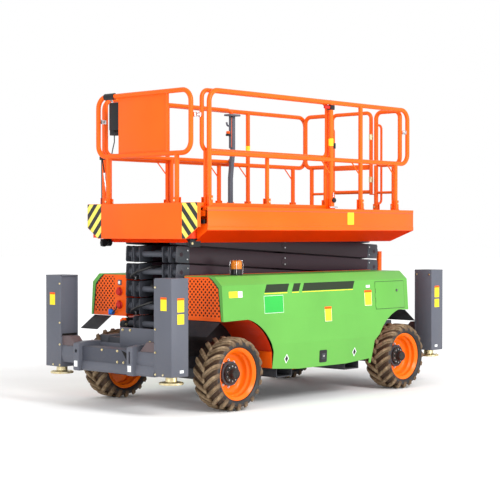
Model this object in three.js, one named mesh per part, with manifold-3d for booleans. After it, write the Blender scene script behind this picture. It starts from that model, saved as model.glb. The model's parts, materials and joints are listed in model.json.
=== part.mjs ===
// Self-propelled rough-terrain scissor lift, stowed. Millimetres, +X forward, +Y to the machine's left,
// +Z up. The origin lies on the ground, under the middle of the machine.
import * as THREE from 'three';
import { mergeVertices } from 'three/addons/utils/BufferGeometryUtils.js';
import Module from 'manifold-3d';

const wasm = await Module();
wasm.setup();

// ---------------------------------------------------------------- clearances
const SEAT = 0.3;                 // between pieces that rest on one another
const RUN = 5;                    // between pieces that move past one another

// ---------------------------------------------------------------- driving dimensions
const WHEELBASE = 2464;
const WIDTH = 1790;               // over the tyres
const AXLE_SHIFT = 40;            // the axles' middle lies this far behind the machine's middle
const TYRE_R = 330;
const TYRE_W = 305;

const WHEEL_SIDES = 20;
const RIM_W = 250;
const RIM_FLANGE_R = 237;
const RIM_SEAT_R = 212;
const RIM_BORE_R = 202;
const DISC_T = 15;
const DISC_Y = 30;                // disc's inner face, outwards from the wheel's middle plane
const HUB_R = 110;
const CAP_R = 85;
const CAP_H = 66;

const POCKET_DROP = 80;           // fork pockets' underside, below the axles' centres
const FORK_W = 220;
const FORK_H = 95.7;
const FORK_WALL = 8;

const BEAM_IN = 240;              // chassis beams, distance of their inner faces from the centre plane
const BEAM_W = 100;
const BEAM_H = 305;
const CROSS_W = 90;
const WHEEL_TO_BUMPER = 158;      // from a tyre's tread to the end of the chassis beams

const AXLE_H = 95;
const AXLE_W = 120;
const KINGPIN_R = 18;
const KINGPIN_IN = 60;            // kingpin, inwards from the tyre's inner face
const KNUCKLE_R = 42;
const KNUCKLE_HALF_H = 68;
const EAR_T = 28;
const STEER_ARM = 150;
const STEER_ROD_R = 14;
const STEER_FORK_H = 12;
const STEER_BARREL = 190;         // steering cylinder's half length

const LEVELS = 5;
const ARM_H = 150;
const ARM_T = 90;
const ARM_ANGLE = 3.28 * Math.PI / 180;
const INNER_Y = 150;              // inner arm pair, inboard face
const LANE_GAP = 10;
const PIN_R = 28;
const PIN_SIDES = 12;
const ROLLER_R = 40;
const ROLLER_W = 24;
const TRACK_WEB = 10;
const TIE_STATION = 300;          // cross tie's distance from the inner arm's rear pin
const LUG_T = 30;

const RAM_LEVELS = [0, 2];        // levels whose inner arms carry a lift cylinder
const RAM_FOOT = 600;             // cylinder's lower eye, from the inner arm's front pin
const RAM_HEAD = 600;             // cylinder's upper eye, from the next outer arm's rear pin
const BARREL_R = 55;
const ROD_R = 34;
const ROD_EYE_R = 40;
const ROD_EYE_HALF = 30;
const EYE_HALF = 60;              // barrel eye's half width
const LEVER_T = 20;

const POD_WALL = 6;
const POD_H = 848;                // from the tray's floor to the cover's hinge
const COVER_T = 6;
const COVER_LAP = 6;
const ARCH_GAP = 165;             // between a tyre's tread and its arch
const ARCH_FOOT_FRONT = 465;      // arch's foot, from the axle
const ARCH_FOOT_REAR = 572;
const BELLY = 28;                 // how far the cover's lower edge bulges down

const JACK_W = 204;
const JACK_D = 219;
const JACK_H = 845;
const JACK_ROD_R = 45;
const JACK_ROD_H = 600;
const PAD_R = 107;
const PAD_T = 22;
const BUMPER_H = 175;
const TOW_LUG_T = 40;
const TOW_LUG_H = 375;

const DECK_HALF = 750;
const DECK_H = 320;               // from the skirt's foot to its top edge
const DECK_PLATE = 12;
const SKIRT_T = 6;
const SKIRT_TUCK = 170;           // how far the skirt's foot leans in
const EDGE_W = 82;

const EXT_TRAVEL_LAP = 1815;      // roll-out floor's length behind the main deck's front edge
const EXT_PLATE = 10;
const EXT_BEAM_W = 60;
const EXT_BEAM_H = 123;
const PANEL_T = 12;
const PANEL_RISE = 37;            // front panel's top edge, over the main deck's edge

const TUBE_R = 22.5;
const EXT_TUBE_R = 20;
const BEND_R = 90;
const RAIL_H = 1037;              // top tube's centre over the deck's edge
const RAIL_LOOP_H = 557;          // between the centres of the top and lower tubes
const GATE_W = 530;
const GATE_H = 857;
const LOW_BAR_R = 16;

// ---------------------------------------------------------------- places that follow from them
const FRONT_AXLE_X = WHEELBASE / 2 - AXLE_SHIFT;
const REAR_AXLE_X = -WHEELBASE / 2 - AXLE_SHIFT;
const BEAM_HALF_LENGTH = -REAR_AXLE_X + TYRE_R + WHEEL_TO_BUMPER;
const NOSE_X = BEAM_HALF_LENGTH + 280;
const WHEEL_Y = WIDTH / 2 - TYRE_W / 2;
const HUB_FACE_Y = WHEEL_Y + DISC_Y - SEAT;
const STEER_Z = TYRE_R - 30;
const KINGPIN_Y = WIDTH / 2 - TYRE_W - KINGPIN_IN;

const FORK_X = WHEELBASE / 2 - 732;
const GROUND = TYRE_R - POCKET_DROP;
const FORK_TOP = GROUND + FORK_H;
const FORK_HALF = WIDTH / 2 - 115;
const BEAM_OUT = BEAM_IN + BEAM_W;
const BEAM_LOW = FORK_TOP + 4 + SEAT;
const BEAM_TOP = BEAM_LOW + BEAM_H;
const AXLE_TOP = BEAM_LOW - SEAT;
const AXLE_LOW = AXLE_TOP - AXLE_H;
const CROSS_XS = [10 - FRONT_AXLE_X, -850, 0, 850, FRONT_AXLE_X - 50].concat(
  [110 - BEAM_HALF_LENGTH, BEAM_HALF_LENGTH - 110]);

const OUTER_Y = INNER_Y + ARM_T + LANE_GAP;
const OUTER_EDGE = OUTER_Y + ARM_T;
const ROLLER_IN = OUTER_EDGE + RUN + 1;
const ROLLER_OUT = ROLLER_IN + ROLLER_W;
const TRACK_OUT = ROLLER_OUT + RUN + TRACK_WEB;
const TRACK_HALF = ROLLER_R + 3;
const REAR_PIN_X = 310 - BEAM_HALF_LENGTH;
const ARM_LENGTH = 2 * BEAM_HALF_LENGTH - 680;
const BASE_PIN_Z = BEAM_TOP + 12 + ARM_H / 2;
const RISE = ARM_LENGTH * Math.sin(ARM_ANGLE);
const REACH = ARM_LENGTH * Math.cos(ARM_ANGLE);
const FRONT_PIN_X = REAR_PIN_X + REACH;
const pinZ = (row) => BASE_PIN_Z + row * RISE;
const TOP_PIN_Z = pinZ(LEVELS);
const TRACK_REAR_X = REAR_PIN_X + 1690;
const LEVER_IN = ROD_EYE_HALF + 4;

const POD_IN = TRACK_OUT + RUN;
const POD_OUT = WIDTH / 2 - 45;
const POD_LOW = FORK_TOP + SEAT;
const POD_TOP = POD_LOW + POD_H - SEAT;
const POD_FRONT_X = FRONT_AXLE_X + 200;
const POD_REAR_X = REAR_AXLE_X - 44;
const COVER_TOP = POD_TOP + SEAT + COVER_T;
const COVER_OUT = WIDTH / 2 - 11;
const BEACON_X = FRONT_AXLE_X - 258;
const BEACON_Y = WIDTH / 2 - 295;

const JACK_X = BEAM_HALF_LENGTH + 129;
const JACK_Y = WIDTH / 2 - 54 - JACK_D / 2;
const JACK_LOW = BEAM_LOW + 4;
const JACK_TOP = JACK_LOW + JACK_H;
const PAD_LOW = BEAM_LOW - 65;
const BUMPER_LOW = BEAM_LOW + 35;
const BUMPER_TOP = BUMPER_LOW + BUMPER_H;
const TOW_LUG_Y = BEAM_OUT + 3;

const SKIRT_LOW = TOP_PIN_Z - 54;
const DECK_TOP = SKIRT_LOW + DECK_H;
const SKIRT_KNEE = DECK_TOP - 210;
const SKIRT_FOOT_Y = DECK_HALF - SKIRT_TUCK;
const DECK_FLOOR = DECK_TOP - 30;
const DECK_REAR_X = REAR_PIN_X - 137;
const DECK_FRONT_X = FRONT_PIN_X + 80;

const EXT_FLOOR_LOW = DECK_FLOOR + RUN + 2;
const EXT_FLOOR = EXT_FLOOR_LOW + EXT_PLATE;
const EXT_FRONT_X = DECK_FRONT_X + 108;
const EXT_REAR_X = DECK_FRONT_X - EXT_TRAVEL_LAP;
const EXT_HALF = DECK_HALF - 95;
const EXT_BEAM_OUT = SKIRT_FOOT_Y + 30;
const EXT_BEAM_IN = EXT_BEAM_OUT - EXT_BEAM_W;
const EXT_BEAM_LOW = SKIRT_LOW + 37;
const EXT_BEAM_TOP = EXT_BEAM_LOW + EXT_BEAM_H;
const EXT_BEAM_REAR_X = EXT_REAR_X - 250;
const PANEL_HALF = DECK_HALF - 14;
const PANEL_TOP = DECK_TOP + PANEL_RISE;

const RAIL_TOP = DECK_TOP + RAIL_H;
const RAIL_MID = RAIL_TOP - RAIL_LOOP_H;
const RAIL_Y = DECK_HALF - 50;
const RAIL_FRONT_X = DECK_FRONT_X - 74;
const RAIL_REAR_X = DECK_REAR_X + 38;
const EXT_RAIL_Y = RAIL_Y - TUBE_R - EXT_TUBE_R - 17.5;
const EXT_RAIL_FRONT_X = EXT_FRONT_X - 150;
const EXT_RAIL_REAR_X = EXT_REAR_X + 40;
const FRONT_RAIL_X = EXT_FRONT_X - PANEL_T - TUBE_R - 1.5;
const REAR_RAIL_X = RAIL_REAR_X + 2 * TUBE_R + 4;
const GATE_HINGE_Y = 262;
const GATE_END_Y = GATE_HINGE_Y - GATE_W;
const GATE_LOW = RAIL_TOP - GATE_H;

// ---------------------------------------------------------------- geometry helpers
const paint = {
  orange: new THREE.MeshStandardMaterial({ color: 0xff7a1f, roughness: 0.4, metalness: 0.1 }),
  green: new THREE.MeshStandardMaterial({ color: 0x6fd25e, roughness: 0.45, metalness: 0.0 }),
  grey: new THREE.MeshStandardMaterial({ color: 0x6a7382, roughness: 0.5, metalness: 0.2 }),
  arm: new THREE.MeshStandardMaterial({ color: 0x43323a, roughness: 0.5, metalness: 0.2 }),
  zinc: new THREE.MeshStandardMaterial({ color: 0xb8a878, roughness: 0.35, metalness: 0.8 }),
  chrome: new THREE.MeshStandardMaterial({ color: 0xc8ccd2, roughness: 0.15, metalness: 1.0 }),
  tyre: new THREE.MeshStandardMaterial({ color: 0x2a2522, roughness: 0.9, metalness: 0.0 }),
  black: new THREE.MeshStandardMaterial({ color: 0x17181a, roughness: 0.6, metalness: 0.1 }),
  amber: new THREE.MeshStandardMaterial({ color: 0xff9a1a, roughness: 0.2, metalness: 0.0 }),
};

// A closed geometry becomes a solid with its faces pointing out.
function solid(geometry) {
  if (geometry instanceof wasm.Manifold) return geometry;
  const bare = geometry.clone();
  for (const name of Object.keys(bare.attributes)) {
    if (name !== 'position') bare.deleteAttribute(name);
  }
  const merged = mergeVertices(bare, 1e-3);
  const position = merged.attributes.position;
  const corners = Array.from(merged.index.array);
  const triangles = [];
  let volume = 0;
  const [a, b, c] = [new THREE.Vector3(), new THREE.Vector3(), new THREE.Vector3()];
  for (let i = 0; i < corners.length; i += 3) {
    const [p, q, r] = corners.slice(i, i + 3);
    if (p === q || q === r || r === p) continue;
    triangles.push(p, q, r);
    a.fromBufferAttribute(position, p);
    b.fromBufferAttribute(position, q);
    c.fromBufferAttribute(position, r);
    volume += a.dot(b.cross(c));
  }
  if (volume < 0) triangles.reverse();
  return new wasm.Manifold(new wasm.Mesh({
    numProp: 3,
    vertProperties: new Float32Array(position.array),
    triVerts: new Uint32Array(triangles),
  }));
}

const join = (...pieces) => pieces.flat(Infinity).map(solid).reduce((sum, piece) => sum.add(piece));
const cut = (body, ...tools) => solid(body).subtract(join(...tools));

function geometryOf(body) {
  const mesh = solid(body).getMesh();
  const geometry = new THREE.BufferGeometry();
  geometry.setAttribute('position', new THREE.BufferAttribute(new Float32Array(mesh.vertProperties), 3));
  geometry.setIndex(new THREE.BufferAttribute(new Uint32Array(mesh.triVerts), 1));
  return geometry;
}

const turned = (body, matrix) => solid(geometryOf(body).applyMatrix4(matrix));
const mirrored = (body) => turned(body, new THREE.Matrix4().makeScale(1, -1, 1));
const reversed = (body) => turned(body, new THREE.Matrix4().makeRotationZ(Math.PI));

function block(x0, x1, y0, y1, z0, z1) {
  const box = new THREE.BoxGeometry(x1 - x0, y1 - y0, z1 - z0);
  return box.translate((x0 + x1) / 2, (y0 + y1) / 2, (z0 + z1) / 2);
}

// The same block on both sides of the centre plane, from |y| = inner to |y| = outer.
const blocks = (x0, x1, inner, outer, z0, z1) => [
  block(x0, x1, inner, outer, z0, z1),
  block(x0, x1, -outer, -inner, z0, z1),
];

function outlineShape(points) {
  const shape = new THREE.Shape();
  points.forEach(([u, v], i) => (i ? shape.lineTo(u, v) : shape.moveTo(u, v)));
  shape.closePath();
  return shape;
}

// An outline of (x, z) points, from y0 to y1.
function plateXZ(points, y0, y1) {
  const plate = new THREE.ExtrudeGeometry(outlineShape(points), { depth: y1 - y0, bevelEnabled: false });
  return plate.rotateX(Math.PI / 2).translate(0, y1, 0);
}

// An outline of (y, z) points, from x0 to x1.
function plateYZ(points, x0, x1) {
  const plate = new THREE.ExtrudeGeometry(outlineShape(points), { depth: x1 - x0, bevelEnabled: false });
  const toYZ = new THREE.Matrix4().makeBasis(
    new THREE.Vector3(0, 1, 0), new THREE.Vector3(0, 0, 1), new THREE.Vector3(1, 0, 0));
  return plate.applyMatrix4(toYZ).translate(x0, 0, 0);
}

// A round bar between two points.
function bar(from, to, radius, sides = 8, twist = 0) {
  const [p, q] = [new THREE.Vector3(...from), new THREE.Vector3(...to)];
  const along = q.clone().sub(p);
  const cylinder = new THREE.CylinderGeometry(radius, radius, along.length(), sides, 1, false, twist);
  const turn = new THREE.Quaternion().setFromUnitVectors(
    new THREE.Vector3(0, 1, 0), along.clone().normalize());
  return cylinder.applyQuaternion(turn).translate(...p.add(q).multiplyScalar(0.5).toArray());
}

// The room that a round bar turns or slides in: its flats clear the bar's corners by the seat gap.
const bore = (from, to, radius, sides = PIN_SIDES) =>
  bar(from, to, (radius + SEAT) / Math.cos(Math.PI / sides), sides, Math.PI / sides);

// A pin across the machine, and a hole that it turns in.
const pin = (x, z, y0, y1, radius, sides = PIN_SIDES) => bar([x, y0, z], [x, y1, z], radius, sides);
const hole = (x, z, y0, y1, radius) => bore([x, y0, z], [x, y1, z], radius);

// A path that keeps its own corner points, for bent tubes.
class BentPath extends THREE.Curve {
  constructor(points) {
    super();
    this.points = points;
  }

  getPoint(t) {
    const last = this.points.length - 1;
    const place = Math.min(t * last, last);
    const i = Math.min(Math.floor(place), last - 1);
    return this.points[i].clone().lerp(this.points[i + 1], place - i);
  }

  getPointAt(u) {
    return this.getPoint(u);
  }

  getTangentAt(u) {
    const last = this.points.length - 1;
    const i = Math.round(u * last);
    const tangent = new THREE.Vector3();
    if (i > 0) tangent.add(this.points[i].clone().sub(this.points[i - 1]).normalize());
    if (i < last) tangent.add(this.points[i + 1].clone().sub(this.points[i]).normalize());
    return tangent.normalize();
  }
}

// A tube through corner points, with each inner corner bent to a radius.
function tube(corners, radius, bend = BEND_R, bendSteps = 2, sides = 8) {
  const points = corners.map((corner) => new THREE.Vector3(...corner));
  const path = [points[0]];
  for (let i = 1; i < points.length - 1; i += 1) {
    const back = points[i - 1].clone().sub(points[i]).normalize().multiplyScalar(bend);
    const ahead = points[i + 1].clone().sub(points[i]).normalize().multiplyScalar(bend);
    const [start, end] = [points[i].clone().add(back), points[i].clone().add(ahead)];
    const corner = new THREE.QuadraticBezierCurve3(start, points[i], end);
    path.push(...corner.getPoints(bendSteps));
  }
  path.push(points[points.length - 1]);
  const section = new THREE.Shape();
  for (let k = 0; k < sides; k += 1) {
    const angle = (k + 0.5) * 2 * Math.PI / sides;
    const [u, v] = [radius * Math.cos(angle), radius * Math.sin(angle)];
    if (k) section.lineTo(u, v);
    else section.moveTo(u, v);
  }
  section.closePath();
  return new THREE.ExtrudeGeometry(section, {
    steps: path.length - 1, extrudePath: new BentPath(path), bevelEnabled: false,
  });
}

// A wheel-shaped body about Y, from a closed (radius, y) profile, standing on a flat facet.
function turning(profile, x, y, z) {
  const points = profile.map(([radius, along]) =>
    new THREE.Vector2(radius / Math.cos(Math.PI / WHEEL_SIDES), along));
  const lathe = new THREE.LatheGeometry(points, WHEEL_SIDES);
  return lathe.rotateY(Math.PI / WHEEL_SIDES).translate(x, y, z);
}

const machine = new THREE.Group();

function addNode(name, body, material) {
  const mesh = new THREE.Mesh(geometryOf(body), material);
  mesh.name = name;
  machine.add(mesh);
}

// ---------------------------------------------------------------- scissor geometry
// A point along an arm: rising arms start at the rear pin, falling arms at the front pin.
const onRisingArm = (level, along) => [
  REAR_PIN_X + along * Math.cos(ARM_ANGLE), pinZ(level) + along * Math.sin(ARM_ANGLE)];
const onFallingArm = (level, along) => [
  FRONT_PIN_X - along * Math.cos(ARM_ANGLE), pinZ(level) + along * Math.sin(ARM_ANGLE)];

// The outline of a round-ended link between two points in the XZ plane.
function linkOutline([x0, z0], [x1, z1], halfHeight, steps = 4) {
  const heading = Math.atan2(z1 - z0, x1 - x0);
  const outline = [];
  for (const [x, z, start] of [[x1, z1, heading - Math.PI / 2], [x0, z0, heading + Math.PI / 2]]) {
    for (let k = 0; k <= steps; k += 1) {
      const angle = start + k * Math.PI / steps;
      outline.push([x + halfHeight * Math.cos(angle), z + halfHeight * Math.sin(angle)]);
    }
  }
  return outline;
}

// A box fixed square to a falling arm, at a station along it and a height off its axis.
function armBox(level, along, halfLength, low, high, halfWidth) {
  const [x, z] = onFallingArm(level, along);
  const box = block(-halfLength, halfLength, -halfWidth, halfWidth, low, high);
  return box.rotateY(ARM_ANGLE).translate(x, 0, z);
}

function risingPair(level) {
  const [x0, z0] = onRisingArm(level, 0);
  const [x1, z1] = onRisingArm(level, ARM_LENGTH);
  const [xm, zm] = onRisingArm(level, ARM_LENGTH / 2);
  const outline = linkOutline([x0, z0], [x1, z1], ARM_H / 2);
  const first = level === 0;
  const last = level === LEVELS - 1;
  const pieces = [
    plateXZ(outline, OUTER_Y, OUTER_EDGE),
    plateXZ(outline, -OUTER_EDGE, -OUTER_Y),
    pin(x0, z0, -(first ? ROLLER_OUT : OUTER_EDGE - 20), first ? ROLLER_OUT : OUTER_EDGE - 20, PIN_R),
    pin(x1, z1, -(last ? ROLLER_IN + 2 : OUTER_EDGE - 20), last ? ROLLER_IN + 2 : OUTER_EDGE - 20, PIN_R),
    pin(xm, zm, INNER_Y - 2, OUTER_Y + 20, PIN_R),
    pin(xm, zm, -OUTER_Y - 20, -INNER_Y + 2, PIN_R),
  ];
  if (last) {
    pieces.push(pin(x1, z1, ROLLER_IN, ROLLER_OUT, ROLLER_R));
    pieces.push(pin(x1, z1, -ROLLER_OUT, -ROLLER_IN, ROLLER_R));
  }
  if (RAM_LEVELS.includes(level - 1)) pieces.push(ramLever(level));
  return join(pieces);
}

// The lever that a lift cylinder pushes: two cheeks on the rear cross tube, tied by a web.
function ramLever(level) {
  const head = onRisingArm(level, RAM_HEAD);
  const outline = linkOutline(onRisingArm(level, 0), head, 42);
  const web = linkOutline(onRisingArm(level, 60), onRisingArm(level, 200), 22, 2);
  return join(
    plateXZ(outline, LEVER_IN, LEVER_IN + LEVER_T),
    plateXZ(outline, -LEVER_IN - LEVER_T, -LEVER_IN),
    plateXZ(web, -LEVER_IN - 2, LEVER_IN + 2));
}

function fallingPair(level) {
  const front = onFallingArm(level, 0);
  const rear = onFallingArm(level, ARM_LENGTH);
  const middle = onFallingArm(level, ARM_LENGTH / 2);
  const outline = linkOutline(front, rear, ARM_H / 2);
  const first = level === 0;
  const last = level === LEVELS - 1;
  const arms = join(
    plateXZ(outline, INNER_Y, INNER_Y + ARM_T),
    plateXZ(outline, -INNER_Y - ARM_T, -INNER_Y));
  const bored = [middle];
  if (!first) bored.push(front);
  if (!last) bored.push(rear);
  const reach = INNER_Y + ARM_T + 5;
  const pieces = [
    cut(arms, bored.map(([x, z]) => hole(x, z, -reach, reach, PIN_R))),
    pin(...onFallingArm(level, RAM_FOOT), -INNER_Y - 10, INNER_Y + 10, PIN_R),
    armBox(level, ARM_LENGTH - TIE_STATION, 50, -ARM_H / 2 + 5, -ARM_H / 2 + 40, INNER_Y + 10),
  ];
  if (first) {
    pieces.push(pin(...front, -ROLLER_IN - 2, ROLLER_IN + 2, PIN_R));
    pieces.push(pin(...front, ROLLER_IN, ROLLER_OUT, ROLLER_R));
    pieces.push(pin(...front, -ROLLER_OUT, -ROLLER_IN, ROLLER_R));
  }
  if (last) pieces.push(pin(...rear, -OUTER_Y - LUG_T - 2, OUTER_Y + LUG_T + 2, PIN_R));
  return join(pieces);
}

// A lift cylinder along the line between its two eyes.
function ramAxis(level) {
  const foot = onFallingArm(level, RAM_FOOT);
  const head = onRisingArm(level + 1, RAM_HEAD);
  const length = Math.hypot(head[0] - foot[0], head[1] - foot[1]);
  const [dx, dz] = [(head[0] - foot[0]) / length, (head[1] - foot[1]) / length];
  const at = (t) => [foot[0] + dx * t, 0, foot[1] + dz * t];
  return { foot, head, length, at };
}

function ramBarrel(level) {
  const { foot, length, at } = ramAxis(level);
  const mouth = length - 165;
  const body = join(
    pin(...foot, -EYE_HALF, EYE_HALF, BARREL_R + 3),
    bar(at(20), at(mouth), BARREL_R, PIN_SIDES),
    bar(at(mouth - 60), at(mouth), BARREL_R + 7, PIN_SIDES));
  return cut(body, hole(...foot, -EYE_HALF - 5, EYE_HALF + 5, PIN_R), bore(at(130), at(mouth + 5), ROD_R));
}

function ramRod(level) {
  const { head, length, at } = ramAxis(level);
  const eye = join(
    bar(at(150), at(length - 10), ROD_R, PIN_SIDES),
    pin(...head, -ROD_EYE_HALF, ROD_EYE_HALF, ROD_EYE_R));
  return cut(eye, pin(...head, -ROD_EYE_HALF - 5, ROD_EYE_HALF + 5, ROD_EYE_R / 2));
}

// ---------------------------------------------------------------- chassis
function track(x0, x1, pinHeight) {
  const [low, high] = [pinHeight - TRACK_HALF, pinHeight + TRACK_HALF];
  return [
    ...blocks(x0, x1, ROLLER_IN - 1, TRACK_OUT, high, high + TRACK_WEB),
    ...blocks(x0, x1, ROLLER_IN - 1, TRACK_OUT, low - TRACK_WEB, low),
    ...blocks(x0, x1, TRACK_OUT - TRACK_WEB, TRACK_OUT, low - TRACK_WEB, high + TRACK_WEB),
  ];
}

function chassisFrame() {
  const lugX = [REAR_PIN_X - 60, REAR_PIN_X + 60];
  const lugs = cut(join(
    blocks(...lugX, ROLLER_IN - 1, TRACK_OUT, BEAM_LOW + 130, BASE_PIN_Z + PIN_R + 27),
    blocks(...lugX, BEAM_OUT - 10, TRACK_OUT, BEAM_LOW + 130, BEAM_TOP - 10)),
  hole(REAR_PIN_X, BASE_PIN_Z, -TRACK_OUT - 5, TRACK_OUT + 5, PIN_R));
  const trackEnd = FRONT_PIN_X + ROLLER_R + 45;
  const standXs = [0, 1, 2, 3].map((k) => TRACK_REAR_X + 60 + k * (trackEnd - TRACK_REAR_X - 120) / 3);
  const stands = standXs.flatMap((x) => [
    ...blocks(x - 40, x + 40, TRACK_OUT - TRACK_WEB, TRACK_OUT, BEAM_TOP - 135, BASE_PIN_Z - TRACK_HALF),
    ...blocks(x - 40, x + 40, BEAM_OUT - 10, TRACK_OUT, BEAM_TOP - 135, BEAM_TOP - 55),
  ]);
  const forkPocket = (side) => {
    const x = side * FORK_X;
    return cut(
      block(x - FORK_W / 2, x + FORK_W / 2, -FORK_HALF, FORK_HALF, GROUND, FORK_TOP),
      block(x - FORK_W / 2 + FORK_WALL, x + FORK_W / 2 - FORK_WALL, -FORK_HALF - 5, FORK_HALF + 5,
        GROUND + FORK_WALL, FORK_TOP - FORK_WALL));
  };
  const ties = [-1, 1].map((side) =>
    blocks(side * FORK_X - 60, side * FORK_X + 60, BEAM_IN + 10, BEAM_OUT - 10, FORK_TOP - 3, BEAM_LOW + 5));
  return join(
    blocks(-BEAM_HALF_LENGTH, BEAM_HALF_LENGTH, BEAM_IN, BEAM_OUT, BEAM_LOW, BEAM_TOP),
    CROSS_XS.map((x) => block(x - CROSS_W / 2, x + CROSS_W / 2, -BEAM_IN - 10, BEAM_IN + 10, BEAM_LOW + 80,
      BEAM_TOP - 55)),
    lugs, track(TRACK_REAR_X, trackEnd, BASE_PIN_Z), stands, forkPocket(-1), forkPocket(1), ties);
}

// ---------------------------------------------------------------- axles, knuckles and wheels
function rearAxle() {
  const x = REAR_AXLE_X;
  const hubIn = KINGPIN_Y + 30;
  const hub = pin(x, TYRE_R, hubIn, HUB_FACE_Y, HUB_R, WHEEL_SIDES);
  const flange = block(x - 50, x + 50, hubIn - 40, hubIn + 30, AXLE_LOW, TYRE_R + 60);
  return join(
    block(x - AXLE_W / 2, x + AXLE_W / 2, -hubIn - 10, hubIn + 10, AXLE_LOW, AXLE_TOP),
    hub, flange, mirrored(hub), mirrored(flange));
}

function frontAxle() {
  const x = FRONT_AXLE_X;
  const earLow = TYRE_R - KNUCKLE_HALF_H - RUN;
  const earHigh = TYRE_R + KNUCKLE_HALF_H + RUN;
  const ears = [[earLow - EAR_T, earLow], [earHigh, earHigh + EAR_T]].flatMap(([low, high]) => [
    block(x - KNUCKLE_R, x + KNUCKLE_R, KINGPIN_Y - 100, KINGPIN_Y, low, high),
    bar([x, KINGPIN_Y, low], [x, KINGPIN_Y, high], KNUCKLE_R, 16),
  ]);
  const postOut = KINGPIN_Y - KNUCKLE_R - 28;
  const post = block(x - 50, x + 50, postOut - 60, postOut, earLow - EAR_T, earHigh + EAR_T);
  const bored = cut(join(ears, post), bore(
    [x, KINGPIN_Y, earLow - EAR_T - 5], [x, KINGPIN_Y, earHigh + EAR_T + 5], KINGPIN_R));
  const rodX = x - STEER_ARM;
  const cylinder = cut(
    block(rodX - 35, x - AXLE_W / 2 + 5, -STEER_BARREL, STEER_BARREL, STEER_Z - 32, STEER_Z + 32),
    bore([rodX, -STEER_BARREL - 10, STEER_Z], [rodX, STEER_BARREL + 10, STEER_Z], STEER_ROD_R));
  return join(
    block(x - AXLE_W / 2, x + AXLE_W / 2, 10 - postOut, postOut - 10, AXLE_LOW, AXLE_TOP),
    bored, mirrored(bored), cylinder);
}

function leftKnuckle() {
  const x = FRONT_AXLE_X;
  const [low, high] = [TYRE_R - KNUCKLE_HALF_H, TYRE_R + KNUCKLE_HALF_H];
  const armX = x - STEER_ARM;
  return join(
    bar([x, KINGPIN_Y, low], [x, KINGPIN_Y, high], KNUCKLE_R, 16),
    bar([x, KINGPIN_Y, low - RUN - EAR_T], [x, KINGPIN_Y, high + RUN + EAR_T], KINGPIN_R, PIN_SIDES),
    block(x - 40, x + 40, KINGPIN_Y, KINGPIN_Y + 90, low + 15, high - 15),
    pin(x, TYRE_R, KINGPIN_Y + 75, HUB_FACE_Y, HUB_R, WHEEL_SIDES),
    block(armX, x, KINGPIN_Y - 15, KINGPIN_Y + 15, STEER_Z - 10, STEER_Z + 10),
    bar([armX, KINGPIN_Y, STEER_Z - 10], [armX, KINGPIN_Y, STEER_Z + 10], 20, PIN_SIDES));
}

function steeringRod() {
  const x = FRONT_AXLE_X - STEER_ARM;
  const [low, high] = [STEER_Z - 12 - STEER_FORK_H, STEER_Z + 12 + STEER_FORK_H];
  const root = KINGPIN_Y - 90;
  const fork = [
    block(x - 20, x + 20, root, root + 30, low, high),
    block(x - 20, x + 20, root, KINGPIN_Y + 25, low, low + STEER_FORK_H),
    block(x - 20, x + 20, root, KINGPIN_Y + 25, high - STEER_FORK_H, high),
  ];
  const shaft = bar([x, -root - 10, STEER_Z], [x, root + 10, STEER_Z], STEER_ROD_R, PIN_SIDES);
  return join(shaft, fork, fork.map(mirrored));
}

function leftWheel(x) {
  const half = RIM_W / 2;
  const discOut = DISC_Y + DISC_T;
  return turning([
    [0, DISC_Y], [RIM_BORE_R, DISC_Y], [RIM_BORE_R, 6 - half], [RIM_FLANGE_R - 9, -half],
    [RIM_FLANGE_R, -half], [RIM_FLANGE_R, 8 - half], [RIM_SEAT_R, 12 - half],
    [RIM_SEAT_R, half - 12], [RIM_FLANGE_R, half - 8], [RIM_FLANGE_R, half],
    [RIM_FLANGE_R - 9, half], [RIM_BORE_R, half - 6], [RIM_BORE_R - 4, discOut],
    [CAP_R, discOut], [CAP_R, discOut + CAP_H - 11], [CAP_R - 18, discOut + CAP_H], [0, discOut + CAP_H],
  ], x, WHEEL_Y, TYRE_R);
}

function leftTyre(x) {
  const half = TYRE_W / 2;
  const bead = RIM_W / 2 - 12 - SEAT;
  const seat = RIM_SEAT_R + SEAT;
  const side = [[seat, bead], [RIM_FLANGE_R, bead + 4], [RIM_FLANGE_R + 4, bead + 8],
    [RIM_FLANGE_R + 25, half - 6], [TYRE_R - 40, half], [TYRE_R - 16, half - 8], [TYRE_R, half - 34]];
  const profile = [...side, ...side.map(([radius, along]) => [radius, -along]).reverse(), side[0]];
  return turning(profile, x, WHEEL_Y, TYRE_R);
}

// ---------------------------------------------------------------- side pods and their covers
// A wheel arch's points, from its top to its foot at the middle of the pod (side 1 is the front wheel's).
function arch(axleX, endX, side) {
  const radius = TYRE_R + ARCH_GAP;
  const roof = TYRE_R + radius - 20;
  const curve = [105, 125, 145].map((degrees) => {
    const angle = degrees * Math.PI / 180;
    return [axleX + side * radius * Math.cos(angle), TYRE_R + radius * Math.sin(angle)];
  });
  const foot = side > 0 ? ARCH_FOOT_FRONT : ARCH_FOOT_REAR;
  const knee = [axleX - side * (TYRE_R + 138), TYRE_R + 221];
  return [[endX, roof], ...curve, knee, [axleX - side * foot, POD_LOW]];
}

const FRONT_ARCH = arch(FRONT_AXLE_X, POD_FRONT_X, 1);
const REAR_ARCH = arch(REAR_AXLE_X, POD_REAR_X, -1);

// The outline moved inwards by a wall's thickness; its corners run anticlockwise.
function inset(points, wall) {
  const lines = points.map((p, i) => {
    const q = points[(i + 1) % points.length];
    const length = Math.hypot(q[0] - p[0], q[1] - p[1]);
    const [nx, nz] = [-(q[1] - p[1]) / length, (q[0] - p[0]) / length];
    return { nx, nz, d: nx * p[0] + nz * p[1] + wall };
  });
  return lines.map((line, i) => {
    const before = lines[(i + lines.length - 1) % lines.length];
    const det = before.nx * line.nz - before.nz * line.nx;
    return [
      (before.d * line.nz - before.nz * line.d) / det,
      (before.nx * line.d - before.d * line.nx) / det,
    ];
  });
}

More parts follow.
